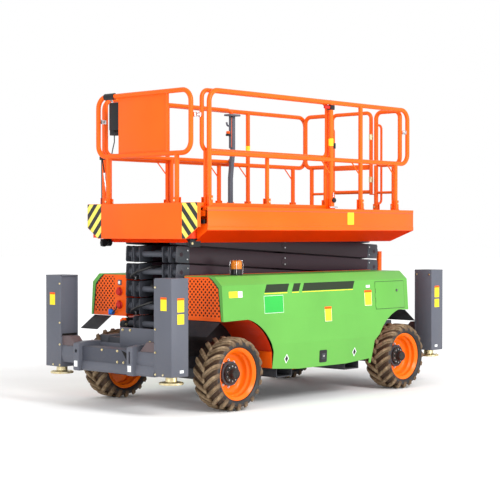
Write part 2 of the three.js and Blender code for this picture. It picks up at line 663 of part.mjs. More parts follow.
const COVER_OUTER = [[POD_IN + 2, COVER_TOP], [POD_OUT - 80, COVER_TOP], [POD_OUT + 12, COVER_TOP - 80],
  [COVER_OUT, COVER_TOP - 400], [COVER_OUT, COVER_TOP - 600], [POD_OUT + 18, COVER_TOP - 900]];

// The tray: inner wall, floor, wheel arches and end grilles, open at its outer side and its top.
function leftPod() {
  const silhouette = [
    ...FRONT_ARCH.toReversed(), [POD_FRONT_X, POD_TOP], [POD_REAR_X, POD_TOP], ...REAR_ARCH];
  const roof = POD_TOP - POD_WALL - 1;
  const room = inset(silhouette, POD_WALL).map(([x, z]) => [x, z > roof ? POD_TOP + 50 : z]);
  const section = [[POD_IN, 0], [POD_OUT, 0], [POD_OUT, COVER_TOP - 87], [POD_OUT - 86, POD_TOP],
    [POD_IN, POD_TOP]];
  const tray = cut(plateXZ(silhouette, POD_IN, POD_OUT), plateXZ(room, POD_IN + POD_WALL, POD_OUT + 5));
  return tray.intersect(solid(plateYZ(section, POD_REAR_X - 5, POD_FRONT_X + 5)));
}

// The bonnet: one bent sheet over the tray, cut out over the wheels.
function leftCover() {
  const lowest = COVER_TOP - 900;
  const inner = inset(
    [[POD_IN - 200, COVER_TOP], ...COVER_OUTER.slice(1), [POD_IN - 200, lowest]].reverse(), COVER_T);
  const [x0, x1] = [POD_REAR_X - COVER_LAP, POD_FRONT_X + COVER_LAP];
  const shell = cut(
    plateYZ([...COVER_OUTER, [POD_IN + 2, lowest]], x0, x1),
    plateYZ(inner, x0 - 5, x1 + 5));
  const [rearFoot, frontFoot] = [REAR_ARCH.at(-1)[0], FRONT_ARCH.at(-1)[0]];
  const below = [
    [[x1 + 5, 0], [x1 + 5, FRONT_ARCH[0][1]], ...FRONT_ARCH.slice(1), [frontFoot, 0]],
    [[x0 - 5, 0], [x0 - 5, REAR_ARCH[0][1]], ...REAR_ARCH.slice(1), [rearFoot, 0]],
    [[rearFoot - 5, 0], [frontFoot + 5, 0], [frontFoot + 5, POD_LOW], [frontFoot - 350, POD_LOW - BELLY],
      [rearFoot + 350, POD_LOW - BELLY], [rearFoot - 5, POD_LOW]],
  ];
  return cut(shell, below.map((outline) => plateXZ(outline, POD_IN - 5, COVER_OUT + 5)));
}

// A heavy mass that stands on a tray's floor.
function podLoad(height) {
  const [x0, x1] = [REAR_ARCH.at(-1)[0] + 140, FRONT_ARCH.at(-1)[0] - 130];
  const low = POD_LOW + POD_WALL + SEAT;
  return block(x0, x1, POD_IN + 30, POD_OUT - 50, low, low + height);
}

// ---------------------------------------------------------------- outriggers
function outriggerFrame() {
  const x0 = JACK_X - JACK_W / 2;
  const x1 = JACK_X + JACK_W / 2;
  const yIn = JACK_Y - JACK_D / 2;
  const start = BEAM_HALF_LENGTH + SEAT;
  const [low, high, nose] = [BEAM_LOW - 10, BEAM_LOW - 10 + TOW_LUG_H, NOSE_X];
  const lug = [[start + 10, low], [nose, low], [nose, high - 215], [nose - 30, high - 115],
    [nose - 110, high - 25], [nose - 170, high], [start + 10, high]];
  const lugPair = [-1, 1].map((side) =>
    plateXZ(lug, side * TOW_LUG_Y - TOW_LUG_T / 2, side * TOW_LUG_Y + TOW_LUG_T / 2));
  const eye = pin(nose - 55, low + 90, -TOW_LUG_Y - 40, TOW_LUG_Y + 40, 26);
  const housing = cut(
    block(x0, x1, yIn, yIn + JACK_D, JACK_LOW, JACK_TOP),
    bore([JACK_X, JACK_Y, JACK_LOW - 5], [JACK_X, JACK_Y, PAD_LOW + JACK_ROD_H + 65], JACK_ROD_R));
  const gusset = plateYZ(
    [[yIn - 160, BUMPER_TOP - 5], [yIn + 5, BUMPER_TOP - 5], [yIn + 5, BUMPER_TOP + 200]],
    JACK_X - 10, JACK_X + 10);
  return join(
    cut(join(lugPair), eye),
    block(x0 + 5, x1 - 6, -yIn - 5, yIn + 5, BUMPER_LOW, BUMPER_TOP),
    block(start, start + 20, -TOW_LUG_Y, TOW_LUG_Y, low + 5, high - 15),
    housing, gusset, mirrored(housing), mirrored(gusset));
}

function outriggerFoot(x, y) {
  return join(
    bar([x, y, PAD_LOW + 10], [x, y, PAD_LOW + 15 + JACK_ROD_H], JACK_ROD_R, PIN_SIDES),
    bar([x, y, PAD_LOW], [x, y, PAD_LOW + PAD_T], PAD_R, WHEEL_SIDES));
}

function rearLadder() {
  const x1 = REAR_PIN_X - ARM_H / 2 - 70;
  const x0 = x1 - 55;
  const top = SKIRT_LOW - 110;
  const [inner, outer] = [BEAM_IN + 22, BEAM_IN + 52];
  const rungs = [0, 1, 2, 3].map((k) => BEAM_TOP + 90 + k * (top - BEAM_TOP - 120) / 3);
  return join(
    blocks(x0, x1, inner, outer, BEAM_TOP + SEAT, top),
    rungs.map((z) => block(x0, x1, -inner - 3, inner + 3, z, z + 30)));
}

// ---------------------------------------------------------------- platform
function deckFrame() {
  const skirt = plateYZ([
    [DECK_HALF, DECK_TOP], [DECK_HALF, SKIRT_KNEE], [SKIRT_FOOT_Y, SKIRT_LOW],
    [SKIRT_FOOT_Y - 6, SKIRT_LOW + 5], [DECK_HALF - SKIRT_T, SKIRT_KNEE + 4],
    [DECK_HALF - SKIRT_T, DECK_TOP]].reverse(), DECK_REAR_X, DECK_FRONT_X);
  const rearPlate = plateYZ([
    [DECK_HALF, DECK_TOP], [-DECK_HALF, DECK_TOP], [-DECK_HALF, SKIRT_KNEE], [-SKIRT_FOOT_Y, SKIRT_LOW],
    [SKIRT_FOOT_Y, SKIRT_LOW], [DECK_HALF, SKIRT_KNEE]], DECK_REAR_X, DECK_REAR_X + SKIRT_T);
  const lugs = cut(
    join(blocks(REAR_PIN_X - 60, REAR_PIN_X + 60, OUTER_Y, OUTER_Y + LUG_T, TOP_PIN_Z - 58, DECK_FLOOR - 5)),
    hole(REAR_PIN_X, TOP_PIN_Z, -OUTER_EDGE, OUTER_EDGE, PIN_R));
  const under = DECK_FLOOR - DECK_PLATE;
  const webs = blocks(TRACK_REAR_X, DECK_FRONT_X - 6, TRACK_OUT - TRACK_WEB, TRACK_OUT,
    TOP_PIN_Z + TRACK_HALF, under + 2);
  const ribs = [1, 2, 3, 4, 5].map((k) => {
    const x = DECK_REAR_X + k * (DECK_FRONT_X - DECK_REAR_X) / 6;
    return block(x - 5, x + 5, -DECK_HALF + 4, DECK_HALF - 4, EXT_BEAM_TOP + 30, under + 2);
  });
  const rollerR = 38;
  const bracket = [
    block(DECK_FRONT_X - 65, DECK_FRONT_X + 65, EXT_BEAM_OUT - 16, EXT_BEAM_OUT - 8,
      SKIRT_LOW - 38, SKIRT_LOW + 30),
    pin(DECK_FRONT_X + 43, EXT_BEAM_LOW - RUN - rollerR, EXT_BEAM_IN + 10, EXT_BEAM_OUT - 12, rollerR),
  ];
  const pads = [EXT_REAR_X + 50, DECK_FRONT_X - 85].flatMap((x) =>
    blocks(x, x + 70, EXT_HALF - 175, EXT_HALF - 115, DECK_FLOOR - 2, EXT_FLOOR_LOW - SEAT));
  return join(
    skirt, mirrored(skirt), rearPlate,
    blocks(DECK_REAR_X, DECK_FRONT_X, DECK_HALF - EDGE_W, DECK_HALF, DECK_TOP - 8, DECK_TOP),
    block(DECK_REAR_X, DECK_FRONT_X, -DECK_HALF + 3, DECK_HALF - 3, under, DECK_FLOOR),
    block(DECK_FRONT_X - 6, DECK_FRONT_X, -DECK_HALF + 3, DECK_HALF - 3, EXT_BEAM_TOP + 8, DECK_FLOOR),
    lugs, webs, track(TRACK_REAR_X, DECK_FRONT_X - 5, TOP_PIN_Z), ribs, bracket,
    bracket.map(mirrored), pads);
}

function extensionDeck() {
  const chamfer = PANEL_HALF - 149;
  const [knee, low] = [SKIRT_KNEE + 25, EXT_BEAM_LOW - 4];
  const panel = plateYZ([
    [PANEL_HALF, PANEL_TOP], [-PANEL_HALF, PANEL_TOP], [-PANEL_HALF, knee], [-chamfer, low],
    [chamfer, low], [PANEL_HALF, knee]], EXT_FRONT_X - PANEL_T, EXT_FRONT_X);
  return join(
    block(EXT_REAR_X, EXT_FRONT_X - 5, -EXT_HALF, EXT_HALF, EXT_FLOOR_LOW, EXT_FLOOR),
    panel,
    block(EXT_FRONT_X - 40, EXT_FRONT_X - 5, -EXT_HALF, EXT_HALF, EXT_BEAM_LOW + 3, EXT_FLOOR),
    blocks(EXT_BEAM_REAR_X, EXT_FRONT_X - 5, EXT_BEAM_IN, EXT_BEAM_OUT, EXT_BEAM_LOW, EXT_BEAM_TOP));
}

// ---------------------------------------------------------------- guard rails
const FOOT_W = 26;
const foot = (x, y, z) => block(x - 34, x + 34, y - FOOT_W, y + FOOT_W, z, z + 8);

function sideRail(y, posts, shortPosts) {
  const low = DECK_TOP + SEAT;
  const loop = tube([[RAIL_FRONT_X, y, low], [RAIL_FRONT_X, y, RAIL_TOP], [RAIL_REAR_X, y, RAIL_TOP],
    [RAIL_REAR_X, y, RAIL_MID], [RAIL_FRONT_X, y, RAIL_MID]], TUBE_R);
  const stays = [...posts, ...shortPosts].map((x) =>
    bar([x, y, RAIL_MID - 230], [x + 230, y, RAIL_MID], 9, 6));
  return join(
    loop, foot(RAIL_FRONT_X, y, low), stays,
    posts.map((x) => [bar([x, y, low], [x, y, RAIL_TOP], TUBE_R), foot(x, y, low)]),
    shortPosts.map((x) => [bar([x, y, low], [x, y, RAIL_MID], TUBE_R), foot(x, y, low)]));
}

function extensionSideRail(y) {
  const low = EXT_FLOOR + SEAT;
  const mid = RAIL_MID + 22;
  const [x0, x1] = [EXT_RAIL_REAR_X, EXT_RAIL_FRONT_X];
  return join(
    tube([[x1, y, low], [x1, y, RAIL_TOP], [x0, y, RAIL_TOP], [x0, y, low]], EXT_TUBE_R),
    bar([x0, y, mid], [x1, y, mid], EXT_TUBE_R),
    bar([x0 + 870, y, low], [x0 + 870, y, mid], EXT_TUBE_R));
}

function frontRail() {
  const x = FRONT_RAIL_X;
  const low = EXT_FLOOR + SEAT;
  const half = PANEL_HALF - 118;
  const [right, left] = [138 - half, half - 178];
  return join(
    tube([[x, -half, RAIL_MID], [x, -half, RAIL_TOP], [x, half, RAIL_TOP], [x, half, RAIL_MID]], TUBE_R),
    bar([x, -half - TUBE_R, RAIL_MID], [x, half + TUBE_R, RAIL_MID], TUBE_R),
    [right, left].map((y) => bar([x, y, low], [x, y, RAIL_TOP], TUBE_R)),
    block(x - 4, x + 4, right + 150, left - 120, RAIL_MID + 10, RAIL_TOP - 10));
}

// One loop of the rear rail on its posts.
function rearRail(y0, y1, posts) {
  const x = REAR_RAIL_X;
  const low = DECK_FLOOR + SEAT;
  return [
    tube([[x, y0, RAIL_MID], [x, y0, RAIL_TOP], [x, y1, RAIL_TOP], [x, y1, RAIL_MID]], TUBE_R, 60),
    bar([x, y0 - TUBE_R, RAIL_MID], [x, y1 + TUBE_R, RAIL_MID], TUBE_R),
    ...posts.map((y) => bar([x, y, low], [x, y, RAIL_MID], TUBE_R)),
  ];
}

function rearLeftRail() {
  const x = REAR_RAIL_X;
  const [y0, y1] = [GATE_HINGE_Y + TUBE_R + EXT_TUBE_R + 25.5, RAIL_Y - 2 * TUBE_R - 15];
  const hinge = block(x - 14, x + 14, GATE_HINGE_Y - 14, y0 + 5, GATE_LOW - SEAT - 12, GATE_LOW - SEAT);
  return join(
    rearRail(y0, y1, [y0, y1 - 80]), hinge,
    bar([x, y0, GATE_LOW + 10], [x, y1 - 80, GATE_LOW + 10], LOW_BAR_R));
}

function rearRightRail() {
  const x = REAR_RAIL_X;
  const [y0, y1] = [2 * TUBE_R + 5 - RAIL_Y, GATE_END_Y - TUBE_R - EXT_TUBE_R - 9.5];
  return join(
    rearRail(y0, y1, [y0 + 90, y1]),
    bar([x, y0 + 90, GATE_LOW + 10], [x, y1, GATE_LOW + 10], LOW_BAR_R));
}

function entryGate() {
  const x = REAR_RAIL_X;
  const r = EXT_TUBE_R;
  const [y0, y1] = [GATE_END_Y, GATE_HINGE_Y];
  return join(
    tube([[x, y1, GATE_LOW], [x, y1, RAIL_TOP], [x, y0, RAIL_TOP], [x, y0, GATE_LOW]], r, 60),
    bar([x, y0 - r, GATE_LOW + r], [x, y1, GATE_LOW + r], r),
    block(x - 4, x + 4, y0, y1, RAIL_MID - 45, RAIL_MID + 10));
}

function controlBox() {
  const face = FRONT_RAIL_X - TUBE_R - SEAT;
  const y = 118 - PANEL_HALF;
  return join(
    block(face - 95, face, y + 118, y + 283, RAIL_MID + 100, RAIL_TOP - 27),
    block(face - 120, face - 90, y + 138, y + 263, RAIL_MID + 260, RAIL_MID + 400));
}

function controlStand() {
  const [x, y] = [EXT_RAIL_REAR_X + 91, 65 - EXT_RAIL_Y];
  const knee = RAIL_TOP - 367;
  return join(
    block(x - 30, x + 30, y - 20, y + 20, EXT_FLOOR + SEAT, knee + 10),
    block(x - 50, x + 10, y - 20, y + 20, knee - 10, RAIL_TOP - 57),
    block(x - 90, x + 60, y - 35, y + 60, RAIL_TOP - 67, RAIL_TOP - 47));
}

// ---------------------------------------------------------------- the machine
addNode('chassis_frame', chassisFrame(), paint.grey);
addNode('front_axle', frontAxle(), paint.grey);
addNode('rear_axle', rearAxle(), paint.grey);
addNode('steering_rod', steeringRod(), paint.chrome);
addNode('front_left_knuckle', leftKnuckle(), paint.black);
addNode('front_right_knuckle', mirrored(leftKnuckle()), paint.black);
for (const [end, x] of [['front', FRONT_AXLE_X], ['rear', REAR_AXLE_X]]) {
  addNode(`${end}_left_wheel`, leftWheel(x), paint.orange);
  addNode(`${end}_right_wheel`, mirrored(leftWheel(x)), paint.orange);
  addNode(`${end}_left_tyre`, leftTyre(x), paint.tyre);
  addNode(`${end}_right_tyre`, mirrored(leftTyre(x)), paint.tyre);
}

addNode('front_outrigger_frame', outriggerFrame(), paint.grey);
addNode('rear_outrigger_frame', reversed(outriggerFrame()), paint.grey);
for (const [end, x] of [['front', JACK_X], ['rear', -JACK_X]]) {
  addNode(`${end}_left_foot`, outriggerFoot(x, JACK_Y), paint.zinc);
  addNode(`${end}_right_foot`, outriggerFoot(x, -JACK_Y), paint.zinc);
}
addNode('rear_ladder', rearLadder(), paint.orange);

addNode('left_pod', leftPod(), paint.orange);
addNode('right_pod', mirrored(leftPod()), paint.orange);
addNode('left_cover', leftCover(), paint.green);
addNode('right_cover', mirrored(leftCover()), paint.green);
addNode('tank_block', podLoad(648), paint.black);
addNode('engine_block', mirrored(podLoad(698)), paint.black);
addNode('beacon', join(
  bar([BEACON_X, BEACON_Y, COVER_TOP + SEAT], [BEACON_X, BEACON_Y, COVER_TOP + 62], 34, 10),
  bar([BEACON_X, BEACON_Y, COVER_TOP + 60], [BEACON_X, BEACON_Y, COVER_TOP + 140], 40, 10)), paint.amber);

for (let level = 0; level < LEVELS; level += 1) {
  addNode(`outer_arms_${level + 1}`, risingPair(level), paint.arm);
  addNode(`inner_arms_${level + 1}`, fallingPair(level), paint.arm);
}
for (const [name, level] of [['lower', RAM_LEVELS[0]], ['upper', RAM_LEVELS[1]]]) {
  addNode(`${name}_lift_barrel`, ramBarrel(level), paint.black);
  addNode(`${name}_lift_rod`, ramRod(level), paint.chrome);
}

addNode('deck_frame', deckFrame(), paint.orange);
const postsAt = (...stations) => stations.map((along) => RAIL_REAR_X + along);
addNode('left_rail', sideRail(RAIL_Y, postsAt(1248, 784), postsAt(205)), paint.orange);
addNode('right_rail', sideRail(-RAIL_Y, postsAt(931, 2109), postsAt(1372, 205)), paint.orange);
addNode('rear_left_rail', rearLeftRail(), paint.orange);
addNode('rear_right_rail', rearRightRail(), paint.orange);
addNode('entry_gate', entryGate(), paint.orange);
addNode('extension_deck', extensionDeck(), paint.orange);
addNode('extension_left_rail', extensionSideRail(EXT_RAIL_Y), paint.orange);
addNode('extension_right_rail', extensionSideRail(-EXT_RAIL_Y), paint.orange);
addNode('front_rail', frontRail(), paint.orange);
addNode('control_box', controlBox(), paint.black);
addNode('control_stand', controlStand(), paint.grey);

export default machine;
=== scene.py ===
# %% [markdown]
# # A rough-terrain scissor lift, finished around its CAD frame
#
# The frame holds every sub-part at its real size and place. This lesson gives each one its
# finished shape and its paint: tyres with lugs, deep wheels, perforated grilles, bent tubes.
# All sizes are in metres, with +X forward and +Z up, and the machine stands on z = 0.
# %% Load the frame
import json
import math

import bmesh
import bpy
from mathutils import Matrix, Vector


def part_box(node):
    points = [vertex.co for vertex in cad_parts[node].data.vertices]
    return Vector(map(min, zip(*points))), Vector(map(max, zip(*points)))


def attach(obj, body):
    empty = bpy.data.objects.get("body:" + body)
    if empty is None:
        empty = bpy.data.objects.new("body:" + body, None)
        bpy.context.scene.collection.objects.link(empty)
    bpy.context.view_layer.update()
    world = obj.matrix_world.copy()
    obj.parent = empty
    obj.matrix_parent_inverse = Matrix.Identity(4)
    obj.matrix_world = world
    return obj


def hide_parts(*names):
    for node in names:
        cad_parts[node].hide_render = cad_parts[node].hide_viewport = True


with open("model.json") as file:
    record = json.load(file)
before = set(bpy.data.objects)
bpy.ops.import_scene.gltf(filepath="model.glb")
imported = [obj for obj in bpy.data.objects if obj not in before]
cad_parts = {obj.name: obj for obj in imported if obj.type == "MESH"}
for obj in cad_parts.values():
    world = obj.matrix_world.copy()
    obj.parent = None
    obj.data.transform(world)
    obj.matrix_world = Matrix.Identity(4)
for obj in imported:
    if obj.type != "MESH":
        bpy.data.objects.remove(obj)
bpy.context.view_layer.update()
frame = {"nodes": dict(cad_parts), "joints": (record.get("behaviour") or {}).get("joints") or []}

scene = bpy.context.scene
pivot = {j["name"]: Vector(j["pos_m"]) for j in frame["joints"] if "pos_m" in j}

# %% [markdown]
# ## The camera
#
# The machine is seen from its front left corner, from eye height and some 13 metres away.
# A long lens keeps the far side nearly as large as the near one. The camera is turned by
# pointing its -Z axis along a heading, which is easier to read than three angles.
# %% Camera
camera_data = bpy.data.cameras.new("camera")
camera_data.lens = 99.8
camera_data.sensor_width = 36
camera = bpy.data.objects.new("camera", camera_data)
scene.collection.objects.link(camera)
scene.camera = camera
camera.location = (10.154, 9.316, 1.596)
heading, dip = math.radians(-137.17), math.radians(-0.745)
aim = Vector((math.cos(heading) * math.cos(dip), math.sin(heading) * math.cos(dip), math.sin(dip)))
camera.rotation_euler = aim.to_track_quat("-Z", "Y").to_euler()
print("camera at", [round(c, 2) for c in camera.location])

# %% [markdown]
# ## Shader helpers
#
# A material is a small graph. Writing each node by hand takes many lines, so one helper adds
# a node, sets its options, and fills or links its inputs by name. Effects that several paints
# share become node groups: a group has its own named inputs and puts out masks or heights,
# while the Principled shader stays in each material.
# %% Node helpers
def add(tree, kind, options=None, **inputs):
    made = tree.nodes.new("ShaderNode" + kind)
    for key, value in (options or {}).items():
        setattr(made, key, value)
    for key, value in inputs.items():
        plug = made.inputs[int(key[1:])] if key[1:].isdigit() else made.inputs[key.replace("_", " ")]
        if isinstance(value, bpy.types.NodeSocket):
            tree.links.new(value, plug)
        else:
            plug.default_value = value
    return made


def maths(tree, operation, a, b=0.0, clamp=False):
    return add(tree, "Math", {"operation": operation, "use_clamp": clamp}, _0=a, _1=b).outputs[0]


def mixed(tree, share, a, b):
    return add(tree, "Mix", {"data_type": "RGBA"}, _0=share, _6=a, _7=b).outputs[2]


def between(tree, value, low, high, to_low=0.0, to_high=1.0):
    made = add(tree, "MapRange", {"interpolation_type": "SMOOTHSTEP"}, Value=value)
    for key, number in (("From Min", low), ("From Max", high), ("To Min", to_low), ("To Max", to_high)):
        made.inputs[key].default_value = number
    return made.outputs[0]


def new_group(name, inputs, outputs):
    tree = bpy.data.node_groups.new(name, "ShaderNodeTree")
    for label, kind, value in inputs:
        plug = tree.interface.new_socket(label, in_out="INPUT", socket_type="NodeSocket" + kind)
        if value is not None:
            plug.default_value = value
    for label, kind in outputs:
        tree.interface.new_socket(label, in_out="OUTPUT", socket_type="NodeSocket" + kind)
    return tree, tree.nodes.new("NodeGroupInput").outputs, tree.nodes.new("NodeGroupOutput").inputs


def place(tree, group, **inputs):
    return add(tree, "Group", {"node_tree": group}, **inputs).outputs


print("node helpers ready")

# %% [markdown]
# ## Shared effects
#
# Three effects make a plain colour look like a real surface. A slow cloud shifts the tone of
# large panels. Dust gathers low down and on what faces up. Edges lose a little paint: the
# Bevel node gives the normal of a rounded copy of the surface, and where it differs from the
# true normal there is an edge. The alternative, Pointiness, needs dense meshes.
# %% Effect groups
def build_cloud():
    tree, given, out = new_group("tone_cloud", [("Position", "Vector", None), ("Scale", "Float", 1.5)],
                                 [("Mask", "Float")])
    noise = add(tree, "TexNoise", Vector=given["Position"], Scale=given["Scale"], Detail=4.0, Roughness=0.55)
    tree.links.new(between(tree, noise.outputs[0], 0.3, 0.7), out["Mask"])
    return tree


def build_dust():
    tree, given, out = new_group(
        "dust", [("Position", "Vector", None), ("Amount", "Float", 0.3), ("Top", "Float", 0.9)],
        [("Mask", "Float")])
    height = add(tree, "SeparateXYZ", Vector=given["Position"]).outputs["Z"]
    low = maths(tree, "SUBTRACT", 1.0, maths(tree, "DIVIDE", height, given["Top"], True), True)
    facing = add(tree, "SeparateXYZ", Vector=add(tree, "NewGeometry").outputs["Normal"]).outputs["Z"]
    lying = maths(tree, "MULTIPLY", between(tree, facing, 0.4, 1.0), 0.5)
    grain = add(tree, "TexNoise", Vector=given["Position"], Scale=26.0, Detail=6.0, Roughness=0.7)
    spread = add(tree, "TexNoise", Vector=given["Position"], Scale=3.1, Detail=3.0)
    patchy = maths(tree, "MULTIPLY", between(tree, grain.outputs[0], 0.35, 0.75), spread.outputs[0])
    both = maths(tree, "ADD", maths(tree, "MULTIPLY", low, low), lying, True)
    tree.links.new(maths(tree, "MULTIPLY", maths(tree, "MULTIPLY", both, patchy), given["Amount"], True),
                   out["Mask"])
    return tree


def build_edge():
    tree, given, out = new_group(
        "edge_wear", [("Position", "Vector", None), ("Radius", "Float", 0.004), ("Amount", "Float", 0.5)],
        [("Mask", "Float")])
    rounded = add(tree, "Bevel", {"samples": 4}, Radius=given["Radius"]).outputs[0]
    true = add(tree, "NewGeometry").outputs["Normal"]
    same = add(tree, "VectorMath", {"operation": "DOT_PRODUCT"}, _0=rounded, _1=true).outputs["Value"]
    edge = between(tree, maths(tree, "SUBTRACT", 1.0, same), 0.03, 0.25)
    chips = add(tree, "TexNoise", Vector=given["Position"], Scale=60.0, Detail=3.0)
    ragged = maths(tree, "MULTIPLY", edge, between(tree, chips.outputs[0], 0.4, 0.62))
    tree.links.new(maths(tree, "MULTIPLY", ragged, given["Amount"], True), out["Mask"])
    return tree


def build_peel():
    tree, given, out = new_group("paint_peel", [("Position", "Vector", None), ("Scale", "Float", 180.0)],
                                 [("Height", "Float")])
    fine = add(tree, "TexNoise", Vector=given["Position"], Scale=given["Scale"], Detail=2.0)
    tree.links.new(fine.outputs[0], out["Height"])
    return tree


CLOUD, DUST, EDGE, PEEL = build_cloud(), build_dust(), build_edge(), build_peel()
DUST_COLOUR = (0.36, 0.29, 0.20, 1)
print("effect groups:", [g.name for g in (CLOUD, DUST, EDGE, PEEL)])

# %% [markdown]
# ## Paint
#
# Most of the machine is powder-coated steel: a strong colour, a satin gloss, a faint orange
# peel. One function makes every paint. It takes a colour in linear values and the amounts of
# dust and wear, so each paint is one line, and the graph is the same for all.
# %% Paint maker
CHIPPED = (0.25, 0.24, 0.23, 1)


def bare_material(name):
    material = bpy.data.materials.new(name)
    material.use_nodes = True
    tree = material.node_tree
    shader = next(n for n in tree.nodes if n.type == "BSDF_PRINCIPLED")
    position = add(tree, "TexCoord").outputs["Object"]
    return material, tree, shader, position


def painted(name, colour, rough=0.38, dust=0.25, wear=0.5, coat=0.04, shine=0.2):
    material, tree, shader, position = bare_material(name)
    cloud = place(tree, CLOUD, Position=position)["Mask"]
    dirt = place(tree, DUST, Position=position, Amount=dust)["Mask"]
    edge = place(tree, EDGE, Position=position, Amount=wear)["Mask"]
    darker = (*[c * 0.93 for c in colour], 1)
    lighter = (*[min(1.0, c * 1.05) for c in colour], 1)
    tone = mixed(tree, cloud, darker, lighter)
    dusty = mixed(tree, dirt, tone, DUST_COLOUR)
    tree.links.new(mixed(tree, edge, dusty, CHIPPED), shader.inputs["Base Color"])
    gloss = between(tree, cloud, 0.0, 1.0, rough - 0.04, rough + 0.05)
    tree.links.new(maths(tree, "ADD", gloss, maths(tree, "MULTIPLY", dirt, 0.4), True),
                   shader.inputs["Roughness"])
    height = place(tree, PEEL, Position=position)["Height"]
    bump = add(tree, "Bump", Strength=0.06, Distance=0.0005, Height=height)
    tree.links.new(bump.outputs[0], shader.inputs["Normal"])
    shader.inputs["Specular IOR Level"].default_value = shine
    shader.inputs["Coat Weight"].default_value = coat
    shader.inputs["Coat Roughness"].default_value = 0.2
    return material


ORANGE = painted("orange_paint", (0.90, 0.112, 0.002), wear=0.25)
# A darker, redder copy of the orange, partly painted shade: it goes on orange parts that lie in shadow, such
# as the arch liners, the trays' inner walls and the parts under the decks.
SHADED_ORANGE = painted("orange_paint_with_painted_shade", (0.68, 0.034, 0.002), wear=0.2)
GREEN = painted("green_paint", (0.118, 0.375, 0.062), rough=0.42, wear=0.3)
GREY = painted("slate_grey_paint", (0.103, 0.110, 0.136), rough=0.42, dust=0.3)
ARM_PAINT = painted("plum_arm_paint", (0.034, 0.017, 0.025), rough=0.45, dust=0.2)
ARM_GREY = painted("dark_grey_arm_paint", (0.026, 0.029, 0.036), rough=0.45, dust=0.2)
BLACK = painted("black_paint", (0.012, 0.013, 0.015), rough=0.5, dust=0.5, coat=0.0)
YELLOW = painted("yellow_label", (0.90, 0.70, 0.03), rough=0.5, dust=0.1, wear=0.1, coat=0.0)
WHITE = painted("white_label", (0.82, 0.84, 0.84), rough=0.5, dust=0.1, wear=0.1, coat=0.0)
RED = painted("red_plastic", (0.55, 0.02, 0.015), rough=0.4, dust=0.1, wear=0.1)
SIGN_GREEN = painted("sign_green", (0.03, 0.42, 0.06), rough=0.45, dust=0.1, wear=0.1)
print("paints made")

# %% [markdown]
# ## Bare metals, rubber and plastics
#
# What isn't painted tells the eye what the machine is made of: yellow zinc plate on the feet
# and bolts, hard chrome on the cylinder rods, dusty rubber, and the beacon's clear amber.
# The rubber reads an attribute named "dirt" that the tyre's mesh carries, because the dried
# soil lies on the lugs and follows their shape, not the height above the ground.
# %% Metals and rubber
def plated(name, colour, tint, rough=0.3):
    material, tree, shader, position = bare_material(name)
    cloud = place(tree, CLOUD, Position=position, Scale=24.0)["Mask"]
    dirt = place(tree, DUST, Position=position, Amount=0.5)["Mask"]
    tree.links.new(mixed(tree, dirt, mixed(tree, cloud, (*colour, 1), (*tint, 1)), DUST_COLOUR),
                   shader.inputs["Base Color"])
    tree.links.new(between(tree, cloud, 0.0, 1.0, rough, rough + 0.15), shader.inputs["Roughness"])
    tree.links.new(maths(tree, "SUBTRACT", 1.0, dirt, True), shader.inputs["Metallic"])
    return material


def rubber():
    material, tree, shader, position = bare_material("dusty_rubber")
    soil = add(tree, "Attribute", {"attribute_name": "dirt"}).outputs["Fac"]
    blotch = add(tree, "TexNoise", Vector=position, Scale=17.0, Detail=5.0, Roughness=0.65).outputs[0]
    grain = add(tree, "TexNoise", Vector=position, Scale=140.0, Detail=4.0).outputs[0]
    damp = mixed(tree, between(tree, grain, 0.35, 0.65), (0.030, 0.014, 0.006, 1), (0.085, 0.040, 0.016, 1))
    tan = mixed(tree, between(tree, blotch, 0.35, 0.65), (0.170, 0.108, 0.055, 1), (0.33, 0.235, 0.140, 1))
    share = maths(tree, "MULTIPLY", soil, between(tree, grain, 0.2, 0.5, 0.85, 1.0), True)
    low = mixed(tree, between(tree, share, 0.05, 0.40), (0.013, 0.012, 0.013, 1), damp)
    tree.links.new(mixed(tree, between(tree, share, 0.45, 0.90), low, tan), shader.inputs["Base Color"])
    tree.links.new(between(tree, share, 0.0, 1.0, 0.55, 0.92), shader.inputs["Roughness"])
    bump = add(tree, "Bump", Strength=0.35, Distance=0.003, Height=maths(tree, "ADD", grain, blotch))
    tree.links.new(bump.outputs[0], shader.inputs["Normal"])
    return material


def clear_amber():
    material, tree, shader, position = bare_material("clear_amber")
    ribs = add(tree, "TexWave", {"bands_direction": "Z"}, Vector=position, Scale=55.0)
    bump = add(tree, "Bump", Strength=0.4, Distance=0.002, Height=ribs.outputs[1])
    tree.links.new(bump.outputs[0], shader.inputs["Normal"])
    tree.links.new(mixed(tree, ribs.outputs[1], (0.95, 0.22, 0.01, 1), (1.0, 0.36, 0.03, 1)),
                   shader.inputs["Base Color"])
    shader.inputs["Roughness"].default_value = 0.12
    shader.inputs["Transmission Weight"].default_value = 0.35
    return material


ZINC = plated("yellow_zinc", (0.62, 0.50, 0.24), (0.78, 0.70, 0.46))
STEEL = plated("bright_steel", (0.52, 0.53, 0.55), (0.70, 0.71, 0.73), 0.22)
CHROME = plated("hard_chrome", (0.72, 0.73, 0.75), (0.80, 0.81, 0.83), 0.08)
RUBBER = rubber()
HOSE = painted("hose_rubber", (0.020, 0.020, 0.021), rough=0.32, dust=0.3, wear=0.0, coat=0.0)
AMBER = clear_amber()
print("metals and rubber made")

# %% [markdown]
# ## Shapes from a few operators
#
# Every piece is assembled from simple parts, each grown by bmesh operators in a small mesh of
# its own: a block is a scaled cube, a rod a cone, a plate an outline that is extruded, a
# turning a profile that is spun. Sharp edges get a narrow bevel, since real edges catch light.
# %% Blocks, rods and plates
SHARP = math.radians(35)


def rounded(part, width, steps=2):
    if width:
        edges = [e for e in part.edges if e.is_manifold and e.calc_face_angle(0) > SHARP]
        bmesh.ops.bevel(part, geom=edges, offset=width, offset_type="OFFSET", segments=steps,
                        profile=0.5, affect="EDGES", clamp_overlap=True, material=-1)
    return part


